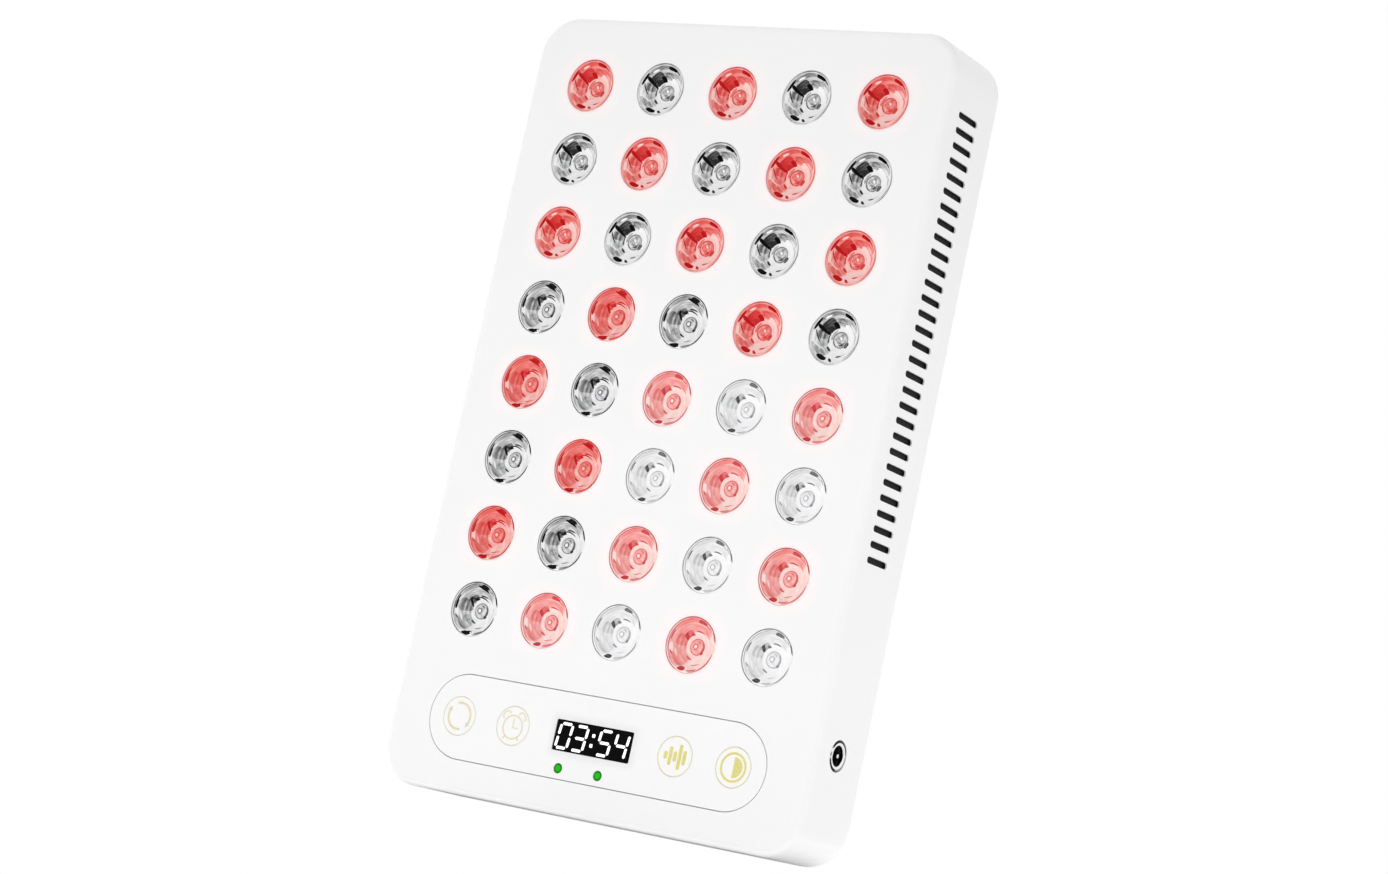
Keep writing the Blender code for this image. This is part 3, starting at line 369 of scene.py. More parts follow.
def painted_reflection_group():
    """Make the group that paints one sliver of a painted reflection on a lens."""
    group = bpy.data.node_groups.new("painted_reflection", "ShaderNodeTree")
    for name in ("Tone", "Radius", "Angle", "Column", "At radius", "Half width", "At angle",
                 "Half angle", "Slant", "Lean", "Squareness", "Softness", "New tone"):
        group.interface.new_socket(name, in_out="INPUT", socket_type="NodeSocketFloat")
    group.interface.new_socket("Tone", in_out="OUTPUT", socket_type="NodeSocketFloat")
    enter = group.nodes.new("NodeGroupInput").outputs
    out = work(group, "SUBTRACT", enter["Radius"], enter["At radius"])
    turn = work(group, "SUBTRACT", work(group, "SUBTRACT", enter["Angle"], enter["At angle"]),
                work(group, "ADD", work(group, "MULTIPLY", out, enter["Slant"]),
                     work(group, "MULTIPLY", enter["Column"], enter["Lean"])))
    turn = work(group, "WRAP", turn, 180, -180)
    out = work(group, "ABSOLUTE", work(group, "DIVIDE", out, enter["Half width"]))
    turn = work(group, "ABSOLUTE", work(group, "DIVIDE", turn, enter["Half angle"]))
    reach = work(group, "ADD", work(group, "POWER", out, enter["Squareness"]),
                 work(group, "POWER", turn, enter["Squareness"]))
    edge = work(group, "ADD", 1, enter["Softness"])
    start = work(group, "SUBTRACT", 1, enter["Softness"])
    cover = spread(group, reach, start, edge, 1, 0, True)
    mixed = wire(group, "Mix", {0: cover, 2: enter["Tone"], 3: enter["New tone"]}).outputs[0]
    group.links.new(mixed, group.nodes.new("NodeGroupOutput").inputs[0])
    return group


# A row paints one sliver of the painted reflection: radius, half width, angle, half angle, slant
# per mm, lean per column, squareness, softness and tone. Later slivers lie over earlier ones.
UPPER_PAINTED_REFLECTIONS = [
    (8.0, 2.9, 98, 58, 0, 0, 4, 0.5, 0.70),
    (9.3, 0.8, 100, 45, 0, 0, 3, 0.6, 0.62),
    (8.3, 0.45, 82, 30, 5, 0, 2, 0.6, 0.84),
    (7.4, 2.2, 40, 22, 0, 0, 4, 0.6, 0.74),
    (7.0, 0.35, 38, 16, -5, 0, 2, 0.6, 0.95),
    (7.4, 2.4, 196, 44, 0, 0, 4, 0.5, 0.78),
    (6.2, 2.7, -52, 62, 0, 0, 5, 0.4, 1),
    (4.9, 1.5, 20, 55, 0, 0, 4, 0.4, 1),
    (8.8, 0.4, -34, 26, 3, 0, 2, 0.6, 0.80),
    (6.9, 0.22, -62, 14, -5, 0, 2, 0.6, 0.86),
    (7.4, 0.5, 2, 14, 5, 0, 2, 0.6, 0.82),
    (6.35, 2.0, 131, 25, 0, 1.0, 4, 0.3, 0.24),
    (6.9, 0.9, 128, 12, 0, 1.0, 2, 0.7, 0.36),
    (5.6, 0.7, 137, 12, 0, 1.0, 2, 0.6, 0.12),
    (7.2, 2.0, 153.5, 5.2, -2.4, 1.6, 4, 0.3, 0),
    (5.2, 0.75, 158, 5, -5, 0, 3, 0.3, 0),
    (5.5, 1.15, 109, 9.5, 2, 1.0, 4, 0.3, 0),
    (6.35, 0.26, 82, 19, 3, 0, 3, 0.5, 0.28),
    (6.9, 0.7, 84, 16, 2, 0, 2, 0.6, 0.55),
    (9.0, 0.3, 121, 10, 3, 0, 2, 0.5, 1),
    (6.9, 1.7, 171, 11.5, -1, 1.0, 4, 0.3, 0.50),
    (6.2, 1.3, 196, 12, 0, 0, 3, 0.4, 0.66),
    (4.75, 0.2, 178, 22, 0, 0, 3, 0.4, 0.28),
    (8.3, 0.8, 178, 3.2, -16, 0, 4, 0.4, 0.06),
    (8.2, 1.0, 203, 2.6, -12, 0, 4, 0.4, 1),
    (9.7, 0.5, 153, 16, 0, -1.5, 2, 0.3, 0),
    (9.5, 0.55, 186, 11, 0, -1.5, 3, 0.4, 1),
    (8.8, 0.6, 214, 12, 0, 0, 3, 0.5, 0.58),
    (7.6, 0.5, 228, 12, -6, 0, 2, 0.6, 0.66),
    (5.5, 0.36, 226, 13, 4, 0, 2, 0.4, 0.2),
    (9.0, 0.8, 245, 13, -2, -2.3, 3, 0.3, 0),
    (8.9, 0.85, 261, 3.2, 5, -2.3, 4, 0.4, 1),
    (8.7, 0.75, 269, 4.2, 7, -2.3, 3, 0.4, 0.24),
    (6.9, 0.36, 285, 9, 0, -1, 3, 0.5, 0.48),
    (9.4, 0.85, 66, 14, -4, -2.3, 3, 0.3, 0),
    (9.35, 0.3, 46, 7.5, 0, -2.3, 3, 0.4, 0.14),
    (3.85, 0.6, 0, 400, 0, 0, 4, 0.3, 0.97),
    (3.7, 0.5, 150, 34, 0, 0, 3, 0.5, 0.74),
    (1.4, 1.65, 0, 400, 0, 0, 4, 0.15, 0.70),
    (3.05, 0.15, 0, 400, 0, 0, 4, 0.4, 0.56),
    (3.45, 0.7, -33, 20, 0, 0, 3, 0.5, 0.24),
    (3.3, 0.12, -33, 22, 0, 0, 3, 0.5, 0.80),
    (2.3, 0.3, -55, 40, 0, 0, 2, 0.6, 0.44),
    (1.8, 0.5, 130, 50, 0, 0, 2, 0.5, 0.86),
    (1.9, 0.35, 230, 36, 0, 0, 2, 0.5, 0.90),
    (1.0, 0.45, 20, 40, 0, 0, 2, 0.5, 1),
    (10.0, 0.14, 0, 400, 0, 0, 4, 0.4, 0.90),
    (10.32, 0.12, 0, 400, 0, 0, 4, 0.3, 0.60),
]
LOWER_PAINTED_REFLECTIONS = [
    (8.2, 2.6, 95, 60, 0, 0, 4, 0.5, 0.91),
    (9.3, 0.8, 92, 48, 0, 0, 3, 0.6, 0.89),
    (8.5, 0.3, 78, 34, 4, 0, 2, 0.6, 0.96),
    (7.2, 2.8, 200, 50, 0, 0, 4, 0.5, 0.91),
    (6.4, 0.4, 52, 24, -3, 0, 2, 0.6, 0.87),
    (6.1, 1.9, 166, 19, 0, -1.5, 4, 0.35, 0.83),
    (8.7, 0.5, 224, 20, -3, 0, 2, 0.6, 0.83),
    (7.2, 0.4, 230, 16, -6, 0, 2, 0.6, 0.94),
    (7.9, 0.3, 204, 12, -9, 0, 2, 0.5, 0.98),
    (9.15, 0.5, 191, 12, 0, 0, 3, 0.4, 1),
    (9.2, 0.26, 203, 4.5, -14, 0, 3, 0.4, 0.60),
    (5.6, 1.0, 132, 21, 0, 1.0, 4, 0.4, 0.72),
    (5.6, 0.9, 146, 8, -7, -1.5, 3, 0.4, 0.26),
    (4.95, 0.55, 118, 7, 5, 0, 3, 0.4, 0.52),
    (5.7, 0.25, 80, 18, 3, 0, 3, 0.4, 0.50),
    (9.4, 0.75, 72, 12, -6, -1.0, 3, 0.35, 0.40),
    (8.9, 0.2, 56, 9, -9, -1.0, 2, 0.4, 0.66),
    (9.7, 0.3, 42, 7, 0, -1.5, 3, 0.4, 0.58),
    (9.5, 0.17, 162, 12, 0, 0, 3, 0.4, 0.42),
    (5.2, 0.26, 244, 13, 6, 0, 3, 0.4, 0.60),
    (9.3, 0.8, 258, 8.5, -2, -3.0, 3, 0.3, 0.24),
    (9.3, 0.9, 270, 2.6, 6, -3.0, 4, 0.4, 1),
    (9.5, 0.35, 285, 13, 0, -3.0, 2, 0.5, 0.70),
    (7.2, 0.25, 284, 14, -4, 0, 2, 0.6, 0.88),
    (10.25, 0.22, 312, 34, 0, 0, 3, 0.5, 0.66),
    (10.1, 0.12, 165, 62, 0, 0, 4, 0.4, 0.98),
    (9.9, 0.07, 150, 50, 0, 0, 4, 0.4, 0.78),
    (10.5, 0.16, 165, 80, 0, 0, 4, 0.4, 0.50),
    (10.5, 0.14, 50, 38, 0, 0, 4, 0.4, 0.62),
    (10.4, 0.2, 24, 9, 0, 0, 3, 0.4, 0.42),
    (3.85, 0.65, 0, 400, 0, 0, 4, 0.3, 0.985),
    (1.5, 1.5, 0, 400, 0, 0, 4, 0.15, 0.93),
    (3.0, 0.14, 0, 400, 0, 0, 4, 0.4, 0.82),
    (2.8, 0.2, -5, 48, 0, 0, 3, 0.5, 0.70),
    (3.2, 0.45, -44, 12, 0, 0, 3, 0.5, 0.60),
    (2.1, 0.2, 62, 40, 0, 0, 2, 0.5, 0.82),
    (0.95, 0.22, 0, 400, 0, 0, 3, 0.5, 0.76),
    (0.3, 0.35, 0, 400, 0, 0, 3, 0.5, 0.99),
]
DEEP_PAINTED_REFLECTIONS = [
    (6.4, 2.3, 168, 20, 0, 0, 4, 0.3, 0.81),
    (6.0, 1.3, 214, 13, 0, 0, 3, 0.4, 0.86),
    (5.6, 1.3, 139, 12, 0, 0, 3, 0.3, 0.74),
    (5.4, 1.2, 149, 6, -10, 0, 4, 0.3, 0.3),
    (5.4, 0.9, 129, 6, 6, 0, 3, 0.4, 0.56),
    (5.0, 0.5, 86, 14, 50, 0, 3, 0.4, 0.3),
    (8.6, 0.75, 77, 13, 12, -1.0, 3, 0.3, 0.3),
    (9.4, 0.3, 173, 11, 0, 0, 3, 0.3, 0.35),
    (9.7, 0.75, 257, 11, -2, -1.0, 3, 0.3, 0.3),
    (9.6, 0.9, 270, 2.6, 6, -1.0, 4, 0.4, 1),
]
painted_reflection = painted_reflection_group()


def lens_finish(name, painted_reflections, clearest, streaks, colours, glow=0):
    """Polish the acrylic, paint its reflection in slivers of shade, and add fine streaks round the
    axis.
    """
    finish, tree, shader, place = new_finish(name, IOR=1.49, Specular_IOR_Level=0.07)
    x, _, z = in_mm(tree, place)
    radius = distance(tree, x, z)
    angle = work(tree, "DEGREES", work(tree, "ARCTAN2", z, x))
    # The lens's column leans its painted reflection a little, as a reflection shifts along the face.
    column = work(tree, "SUBTRACT", wire(tree, "ObjectInfo").outputs["Object Index"], MIDDLE_COLUMN)
    ripple = noise(tree, place, 420, 3)
    round_axis = wire(tree, "CombineXYZ", {0: work(tree, "DIVIDE", x, radius),
                                           1: work(tree, "MULTIPLY", radius, 0.9),
                                           2: work(tree, "DIVIDE", z, radius)}).outputs[0]
    streak = noise(tree, round_axis, 1.6, 4)
    tone = spread(tree, ripple, 0.35, 0.65, *clearest)
    for shape in painted_reflections:
        inputs = dict(enumerate((tone, radius, angle, column, *shape)))
        tone = wire(tree, "Group", inputs, node_tree=painted_reflection).outputs[0]
    middling = work(tree, "MULTIPLY", tone, work(tree, "SUBTRACT", 1, tone))
    drift = spread(tree, streak, 0.3, 0.7, -streaks, streaks)
    tone = work(tree, "ADD", tone, work(tree, "MULTIPLY", drift, middling))
    ramp = wire(tree, "ValToRGB", {0: tone})
    while len(ramp.color_ramp.elements) < len(colours):
        ramp.color_ramp.elements.new(0.5)
    for element, (at, colour) in zip(ramp.color_ramp.elements, colours):
        element.position = at
        element.color = (*colour, 1)
    feed(tree, shader, Base_Color=ramp.outputs[0],
         Roughness=spread(tree, ripple, 0.3, 0.7, 0.06, 0.16))
    emboss(tree, shader, ripple, 0.00006, 0.3)
    if glow:
        feed(tree, shader, Emission_Color=ramp.outputs[0])
        shader.inputs["Emission Strength"].default_value = glow
    return finish


def greys(*ends):
    """Give a ramp of greys that are very slightly cool."""
    return [(at, (value, value, value * 1.01)) for at, value in ends]


# Painted reflection slivers, the range of tone of the clear parts, and the strength of the streaks,
# for the upper lenses, the lower left ones and the ones at the lower right, paler by painted light.
UPPER = (UPPER_PAINTED_REFLECTIONS, (0.92, 0.99), 1.1)
LOWER = (LOWER_PAINTED_REFLECTIONS + DEEP_PAINTED_REFLECTIONS, (0.98, 1.0), 0.8)
PAINTED_PALE = (LOWER_PAINTED_REFLECTIONS, (0.98, 1.0), 0.7)
RED_GLOW = 0.08
clear_acrylics = (
    lens_finish("clear_acrylic", *UPPER, greys(
        (0, 0), (0.25, 0.035), (0.43, 0.14), (0.58, 0.30), (0.72, 0.50), (0.83, 0.69), (0.93, 0.89),
        (1, 0.99))),
    lens_finish("clear_acrylic_low", *LOWER, greys(
        (0.35, 0), (0.5, 0.008), (0.62, 0.035), (0.72, 0.1), (0.83, 0.264), (0.91, 0.52), (0.965, 0.8),
        (1, 0.99))),
    lens_finish("clear_acrylic_painted_pale", *PAINTED_PALE, greys(
        (0, 0), (0.3, 0.073), (0.5, 0.214), (0.65, 0.38), (0.8, 0.604), (0.9, 0.787), (1, 0.99))))
red_acrylics = (
    lens_finish("red_acrylic", *UPPER, (
        (0, (0.46, 0.006, 0.008)), (0.26, (0.60, 0.035, 0.034)), (0.43, (0.66, 0.075, 0.068)),
        (0.58, (0.70, 0.125, 0.115)), (0.72, (0.76, 0.19, 0.175)), (0.83, (0.82, 0.28, 0.255)),
        (0.93, (0.87, 0.45, 0.42)), (1, (0.92, 0.66, 0.63))), RED_GLOW),
    lens_finish("red_acrylic_low", *LOWER, (
        (0.35, (0.46, 0.006, 0.008)), (0.62, (0.60, 0.035, 0.034)), (0.72, (0.65, 0.065, 0.06)),
        (0.83, (0.69, 0.115, 0.105)), (0.91, (0.75, 0.18, 0.165)), (0.96, (0.81, 0.28, 0.255)),
        (0.985, (0.87, 0.46, 0.43)), (1, (0.92, 0.66, 0.63))), RED_GLOW),
    lens_finish("red_acrylic_painted_pale", *PAINTED_PALE, (
        (0.3, (0.56, 0.05, 0.06)), (0.7, (0.66, 0.13, 0.13)), (0.8, (0.73, 0.20, 0.195)),
        (0.855, (0.77, 0.25, 0.24)), (0.906, (0.82, 0.33, 0.315)), (0.949, (0.86, 0.45, 0.435)),
        (0.98, (0.89, 0.66, 0.62)), (1, (0.94, 0.80, 0.76))), RED_GLOW))
lens_shapes = {finish: lens_body() for finish in clear_acrylics + red_acrylics}
for row, column in LENSES:
    lit = (row + column) % 2 == 0
    low = row > 2 and column < 3
    # The lower right lenses take the pale copies of the finish, lighter there by painted light.
    pale = row > 3 and column > 1 or row > 6 and column > 0
    finish = (red_acrylics if lit else clear_acrylics)[2 if pale else int(low)]
    number = f"_r{row + 1}_c{column + 1}"
    lens = add_object(("red_lens" if lit else "clear_lens") + number, lens_shapes[finish], finish,
                      "housing", ["lens" + number])
    x, z = lens_centre(row, column)
    lens.location = Vector((x, FRONT, z)) * MM
    lens.pass_index = column


# Emitter board: a white lacquered board with a copper core, screwed to the bosses between the
# lenses. Its forty emitters sit under the domes, so little of it is ever seen.
def board_lacquer(name, light, dark, rough, grain, track, fineness, width):
    """Make the lacquer of a circuit board, with its tracks as faint lines under it."""
    finish, tree, shader, place, shade = moulded(name, light, dark, rough, grain, 0.00002)
    tracks = wire(tree, "TexBrick", {"Vector": place, "Scale": fineness, "Mortar Size": width,
                                     "Color1": (1, 1, 1, 1), "Color2": (1, 1, 1, 1),
                                     "Mortar": (0, 0, 0, 1)}).outputs[0]
    feed(tree, shader, Base_Color=tint(tree, tracks, track, shade))
    return finish


def dress(finish, *nodes):
    """Give a finish to solids that stay as they are."""
    for node in nodes:
        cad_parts[node].material_slots[0].material = finish


white_lacquer = board_lacquer("white_lacquer", (0.84, 0.85, 0.83), (0.78, 0.79, 0.77), 0.4, 900,
                              (0.66, 0.62, 0.50), 90, 0.04)
dress(white_lacquer, "led_board")


# Heat sink: an extruded aluminium plate with thirteen fins, glued to the back of the board. The
# die leaves fine lines along the fins.
def bare_metal(name, dark, light, rough, grain, detail=4, drawn=(1, 1, 1)):
    """Make a metal whose tone and gloss follow its grain, stretched the way that it was drawn."""
    finish, tree, shader, place = new_finish(name, Metallic=1)
    along = wire(tree, "Mapping", {"Vector": place, "Scale": drawn}).outputs[0]
    lines = noise(tree, along, grain, detail)
    feed(tree, shader, Base_Color=tint(tree, lines, dark, light),
         Roughness=spread(tree, lines, 0.3, 0.7, *rough))
    return finish, tree, shader, lines


drawn_aluminium, tree, shader, lines = bare_metal(
    "drawn_aluminium", (0.62, 0.63, 0.64), (0.78, 0.79, 0.80), (0.3, 0.5), 900, drawn=(1, 1, 0.02))
emboss(tree, shader, lines, 0.00003, 0.4)
dress(drawn_aluminium, "heat_sink")


# Control panel: a satin white pill moulded apart and pushed into its seat from behind, flush with
# the face. It has holes for four keys, the clock window and two light pipes.
KEYS = {"key_mode": -62.5, "key_timer": -37.0, "key_pulse": 37.0, "key_brightness": 62.5}
KEY_HOLE, WINDOW_WIDTH, WINDOW_HEIGHT, WINDOW_CORNER = 15.2, 35.0, 11.8, 0.6
LIGHTS = {"indicator_left": -12.8, "indicator_right": 5.3}
LIGHT_HEIGHT, LIGHT_HOLE = 17.0, 3.9
LIP_FRONT, LIP_REAR, LIP, THROUGH_PILL = 2.3, 3.8, 1.5, 5
STUD, STUD_END, STUD_X, STUD_Z, WINDOW_SHADE = 3.6, 9.2, 49.75, 10.45, 3.5
satin_white, tree, shader, place, shade = moulded(
    "satin_white", (0.935, 0.935, 0.935), (0.925, 0.925, 0.925), 0.34, 3000, 0.00002)
# Painted shadow: the pill's colour darkens round the clock window, fading out over WINDOW_SHADE mm.
x, _, z = in_mm(tree, place)
across = work(tree, "ABSOLUTE", x)
up = work(tree, "ABSOLUTE", work(tree, "SUBTRACT", z, PILL_HEIGHT))
past = [work(tree, "MAXIMUM", work(tree, "SUBTRACT", offset, size / 2), 0)
        for offset, size in ((across, WINDOW_WIDTH), (up, WINDOW_HEIGHT))]
window_shadow = spread(tree, distance(tree, *past), 0, WINDOW_SHADE, 0.5, 0, True)
feed(tree, shader, Base_Color=tint(tree, window_shadow, shade, (0.76, 0.76, 0.765)))
pill = bmesh.new()
section = (curve(-0.5, 0.2, 0.2, 270, 360, 4)
           + [(-0.3, LIP_FRONT), (LIP, LIP_FRONT), (LIP, LIP_REAR)])
skin(pill, (PILL_LENGTH, PILL_WIDTH, PILL_WIDTH / 2, 24), section, on_face(0, PILL_HEIGHT))
steel = bmesh.new()
for x in KEYS.values():
    opening(steel, disc(KEY_HOLE, 16), THROUGH_PILL, 0.12, on_face(x, PILL_HEIGHT), 3)
for x in LIGHTS.values():
    opening(steel, disc(LIGHT_HOLE, 8), THROUGH_PILL, 0.12, on_face(x, LIGHT_HEIGHT), 3)
opening(steel, (WINDOW_WIDTH, WINDOW_HEIGHT, WINDOW_CORNER, 4), THROUGH_PILL, 0.1,
        on_face(0, PILL_HEIGHT), 3)
studs = bmesh.new()
for x in (-STUD_X, STUD_X):
    for z in (PILL_HEIGHT - STUD_Z, PILL_HEIGHT + STUD_Z):
        skin(studs, disc(STUD, 6), [(0, 3), (0, STUD_END)], on_face(x, z))
add_piece("control_pill", pill, satin_white, "housing", ["control_panel"],
          joined=studs, carved=steel)


# Keys: four round satin caps on short stems. Each one is pad printed with its symbol in pale gold
# ink: mode, timer, pulse and brightness, with a fine ring. They press in by half a millimetre.
KEY_CAP, KEY_EDGE, KEY_LIP, KEY_STEM = 7.52, 0.12, 8.62, 1.8
KEY_LIP_FRONT, KEY_LIP_REAR, STEM_END = 4.1, 5.1, 6.3
INK = 0.03
key_satin = moulded("key_satin", (0.935, 0.935, 0.932), (0.925, 0.925, 0.920), 0.32, 3000,
                    0.00002)[0]


def gold_ink(name, light, dark):
    """Make the printed ink, a little uneven as a pad lays it down."""
    finish, tree, shader, place = new_finish(name, Metallic=0.1)
    wear = noise(tree, place, 1500, 4)
    shade = tint(tree, spread(tree, wear, 0.35, 0.65, 0, 1), light, dark)
    feed(tree, shader, Base_Color=shade, Roughness=spread(tree, wear, 0.3, 0.7, 0.3, 0.5))
    emboss(tree, shader, wear, 0.00002, 0.3)
    return finish


pale_gold = gold_ink("pale_gold_ink", (0.80, 0.74, 0.52), (0.73, 0.67, 0.44))
warm_gold = gold_ink("warm_gold_ink", (0.77, 0.70, 0.26), (0.70, 0.62, 0.20))


def band(bm, path, width, place):
    """Print a line of ink along a path; a path that ends where it starts makes a ring."""
    looped = (Vector(path[0]) - Vector(path[-1])).length < 0.001
    points = [Vector(point) for point in (path[:-1] if looped else path)]
    rows = []
    for number, point in enumerate(points):
        before = points[number - 1] if number or looped else point
        after = points[(number + 1) % len(points)] if looped or number + 1 < len(points) else point
        way = (after - before).normalized()
        side = Vector((-way.y, way.x)) * width / 2
        corners = [(point + side, -INK), (point - side, -INK), (point - side, INK),
                   (point + side, INK)]
        rows.append([bm.verts.new(place @ Vector((at.x, depth, at.y))) for at, depth in corners])
    stitch(bm, rows, looped)


def blot(bm, points, place):
    """Print a filled shape of ink."""
    stitch(bm, [[bm.verts.new(place @ Vector((x, depth, z))) for x, z in points]
                for depth in (-INK, INK)])


def sweep(radius, start, end, drop=0):
    """Give the path of a printed arc."""
    steps = max(4, round(abs(end - start) / 6))
    return [(x, z - drop) for x, z in curve(0, 0, radius, start, end, steps)]


def arrow_head(bm, radius, angle, size, place):
    """Print an arrow head that ends a clockwise arc."""
    at = Vector((radius * cos(radians(angle)), radius * sin(radians(angle))))
    way = Vector((at.y, -at.x)).normalized() * size
    out = at.normalized() * size * 0.62
    blot(bm, (at + out, at + way, at - out), place)


# The symbols: their reach from the middle of the key, and the widths of their lines.
MODE_REACH, MODE_LINE, ARROW = 5.1, 0.95, 1.8
CLOCK_REACH, CLOCK_DROP, CLOCK_LINE, HAND_LINE, LEG_LINE = 4.45, 0.5, 0.6, 0.55, 0.5
HANDS, LEG = ((0, 2.9), (0, -0.7), (2.3, -0.7)), ((2.8, -4.2), (3.5, -5.3))
BELL = ((1.9, 4.5), (2.5, 5.4), (3.5, 5.5), (4.9, 4.3), (5.3, 3.2), (4.6, 2.3))
PULSE_HEIGHTS, PULSE_PITCH, PULSE_LINE = (3.0, 6.9, 3.9, 9.4, 5.4), 2.05, 1.5
DIAL_REACH, DIAL_LINE, HALF_MOON = 5.15, 0.9, 3.9
RING_REACH, RING_LINE = 7.28, 0.2
symbols = {name: bmesh.new() for name in KEYS}
mode, timer, pulse, brightness = symbols.values()
on_mode, on_timer, on_pulse, on_brightness = [on_face(x, PILL_HEIGHT) for x in KEYS.values()]
for start, end in ((110, -30), (-75, -200)):
    band(mode, sweep(MODE_REACH, start, end), MODE_LINE, on_mode)
    arrow_head(mode, MODE_REACH, end + 1, ARROW, on_mode)
band(timer, sweep(CLOCK_REACH, 0, 360, CLOCK_DROP), CLOCK_LINE, on_timer)
band(timer, HANDS, HAND_LINE, on_timer)
for side in (-1, 1):
    band(timer, [(side * x, z) for x, z in BELL], HAND_LINE, on_timer)
    band(timer, [(side * x, z) for x, z in LEG], LEG_LINE, on_timer)
for number, height in enumerate(PULSE_HEIGHTS):
    skin(pulse, (PULSE_LINE, height, 0.7, 4), [(0, -INK), (0, INK)],
         on_pulse @ Matrix.Translation(((number - 2) * PULSE_PITCH, 0, 0)))
band(brightness, sweep(DIAL_REACH, 0, 360), DIAL_LINE, on_brightness)
blot(brightness, curve(0, 0, HALF_MOON, -90, 90, 20), on_brightness)

for name, x in KEYS.items():
    band(symbols[name], sweep(RING_REACH, 0, 360), RING_LINE, on_face(x, PILL_HEIGHT))
    key = bmesh.new()
    profile = ([(KEY_CAP - 2, 0)] + curve(KEY_CAP - KEY_EDGE, KEY_EDGE, KEY_EDGE, 270, 360, 3)
               + [(KEY_CAP, KEY_LIP_FRONT), (KEY_LIP, KEY_LIP_FRONT), (KEY_LIP, KEY_LIP_REAR),
                  (KEY_STEM, KEY_LIP_REAR), (KEY_STEM, STEM_END)])
    turned(key, profile, 18, on_face(x, PILL_HEIGHT))
    add_piece(name + "_cap", key, key_satin, name, [name])
    ink = pale_gold if x < 0 else warm_gold
    add_piece(name + "_symbol", symbols[name], ink, name)


# Clock display: a gloss black acrylic window set flush in the pill, with a black display block
# behind it. The lit segments of the clock lean over a little, as such displays do.
gloss_black = moulded("gloss_black", (0.004, 0.004, 0.004), (0.003, 0.003, 0.003), 0.12, 1200,
                      0.00001, Specular_IOR_Level=0.02)[0]
window = bmesh.new()
section = curve(-0.4, 0.1, 0.1, 270, 360, 3) + [(-0.3, 4.1), (0.8, 4.1), (0.8, 4.9)]
skin(window, (WINDOW_WIDTH, WINDOW_HEIGHT, WINDOW_CORNER, 4), section, on_face(0, PILL_HEIGHT))
add_piece("clock_window", window, gloss_black, "housing", ["display_window"])
dress(gloss_black, "display_module")

lit_white, tree, shader, place = new_finish("lit_segments", Roughness=0.4, Emission_Strength=0.55)
light = tint(tree, noise(tree, place, 700, 2), (1.0, 1.0, 1.0), (0.93, 0.95, 1.0))
feed(tree, shader, Base_Color=light, Emission_Color=light)
# Where each bar of a digit lies, in halves of its width and height, and whether it stands.
SEGMENTS = {"a": (0, 1, 0), "b": (1, 0.5, 1), "c": (1, -0.5, 1), "d": (0, -1, 0),
            "e": (-1, -0.5, 1), "f": (-1, 0.5, 1), "g": (0, 0, 0)}
DIGITS = ((-13.0, "abcdef"), (-5.9, "abcdg"), (5.4, "acdfg"), (12.8, "bcfg"))
HALF_WIDTH, HALF_HEIGHT, BAR_WIDTH, LEVEL_BAR, UPRIGHT_BAR = 2.6, 4.6, 1.1, 4.3, 4.0
DOT, DOT_HEIGHT = 1.3, 1.9
LEAN = Matrix.Identity(4)
LEAN[0][2] = tan(radians(6.5))
digits = bmesh.new()
for x, lit in DIGITS:
    for letter in lit:
        across, up, stands = SEGMENTS[letter]
        reach = (UPRIGHT_BAR if stands else LEVEL_BAR) / 2
        half = BAR_WIDTH / 2
        mitre = reach - half * 0.8
        bar = [(-reach, 0), (-mitre, half), (mitre, half), (reach, 0), (mitre, -half), (-mitre, -half)]
        if stands:
            bar = [(z, along) for along, z in bar]
        bar = [(across * HALF_WIDTH + one, up * HALF_HEIGHT + two) for one, two in bar]
        blot(digits, bar, on_face(x, PILL_HEIGHT - 0.1) @ LEAN)
for z in (-DOT_HEIGHT, DOT_HEIGHT):
    skin(digits, (DOT, DOT, 0.15, 2), [(0, -INK), (0, INK)],
         on_face(-0.1 + z * 0.1, PILL_HEIGHT + z))
add_piece("clock_segments", digits, lit_white, "housing")


# Indicator lights: two green light pipes that end in shallow domes in the pill, each in its own
# darker green skirt where the light falls off.
CORE_EDGE, SKIRT_EDGE = 1.1, 1.4
PIPE, PIPE_NECK, PIPE_END = 1.88, 1.68, 9.2
lit_green, tree, shader, place = new_finish("lit_green", Roughness=0.25, Emission_Strength=0.15,
                                            Specular_IOR_Level=0.1)
x, _, z = in_mm(tree, place)
speck = wire(tree, "TexNoise", {"Scale": 900, "Detail": 2}).outputs[0]
fall = work(tree, "ADD", spread(tree, distance(tree, x, z), CORE_EDGE, SKIRT_EDGE, 0, 1, True),
            spread(tree, speck, 0.4, 0.7, 0, 0.12))
green = tint(tree, fall, (0.006, 0.50, 0.0), (0.005, 0.15, 0.003))
feed(tree, shader, Base_Color=green, Emission_Color=green)
for name, x in LIGHTS.items():
    pipe = bmesh.new()
    dome = [(1.9 * sin(radians(angle)), 0.55 - 0.5 * cos(radians(angle)))
            for angle in (8, 25, 45, 65, 80)]
    turned(pipe, dome + [(PIPE, 0.6), (PIPE, 2.4), (PIPE_NECK, 2.4), (PIPE_NECK, PIPE_END)], 10)
    light = add_piece(name.replace("indicator", "light_pipe"), pipe, lit_green, "housing",
                      [name])
    light.location = Vector((x, FRONT, LIGHT_HEIGHT)) * MM


# Control board: a green fibreglass board on four studs of the pill, with a tact switch behind
# each key. It is hidden once the panel is shut.
solder_mask = board_lacquer("solder_mask", (0.030, 0.22, 0.075), (0.022, 0.17, 0.055), 0.3, 800,
                            (0.06, 0.33, 0.12), 160, 0.05)
dress(solder_mask, "control_board")


# Power socket: a round plated ring that stands flush in the right side, with a black socket and
# a centre pin inside it. A shoulder holds it behind the wall.
BEVEL, THROAT = (4.85, 5.7), (2.0, 3.85)
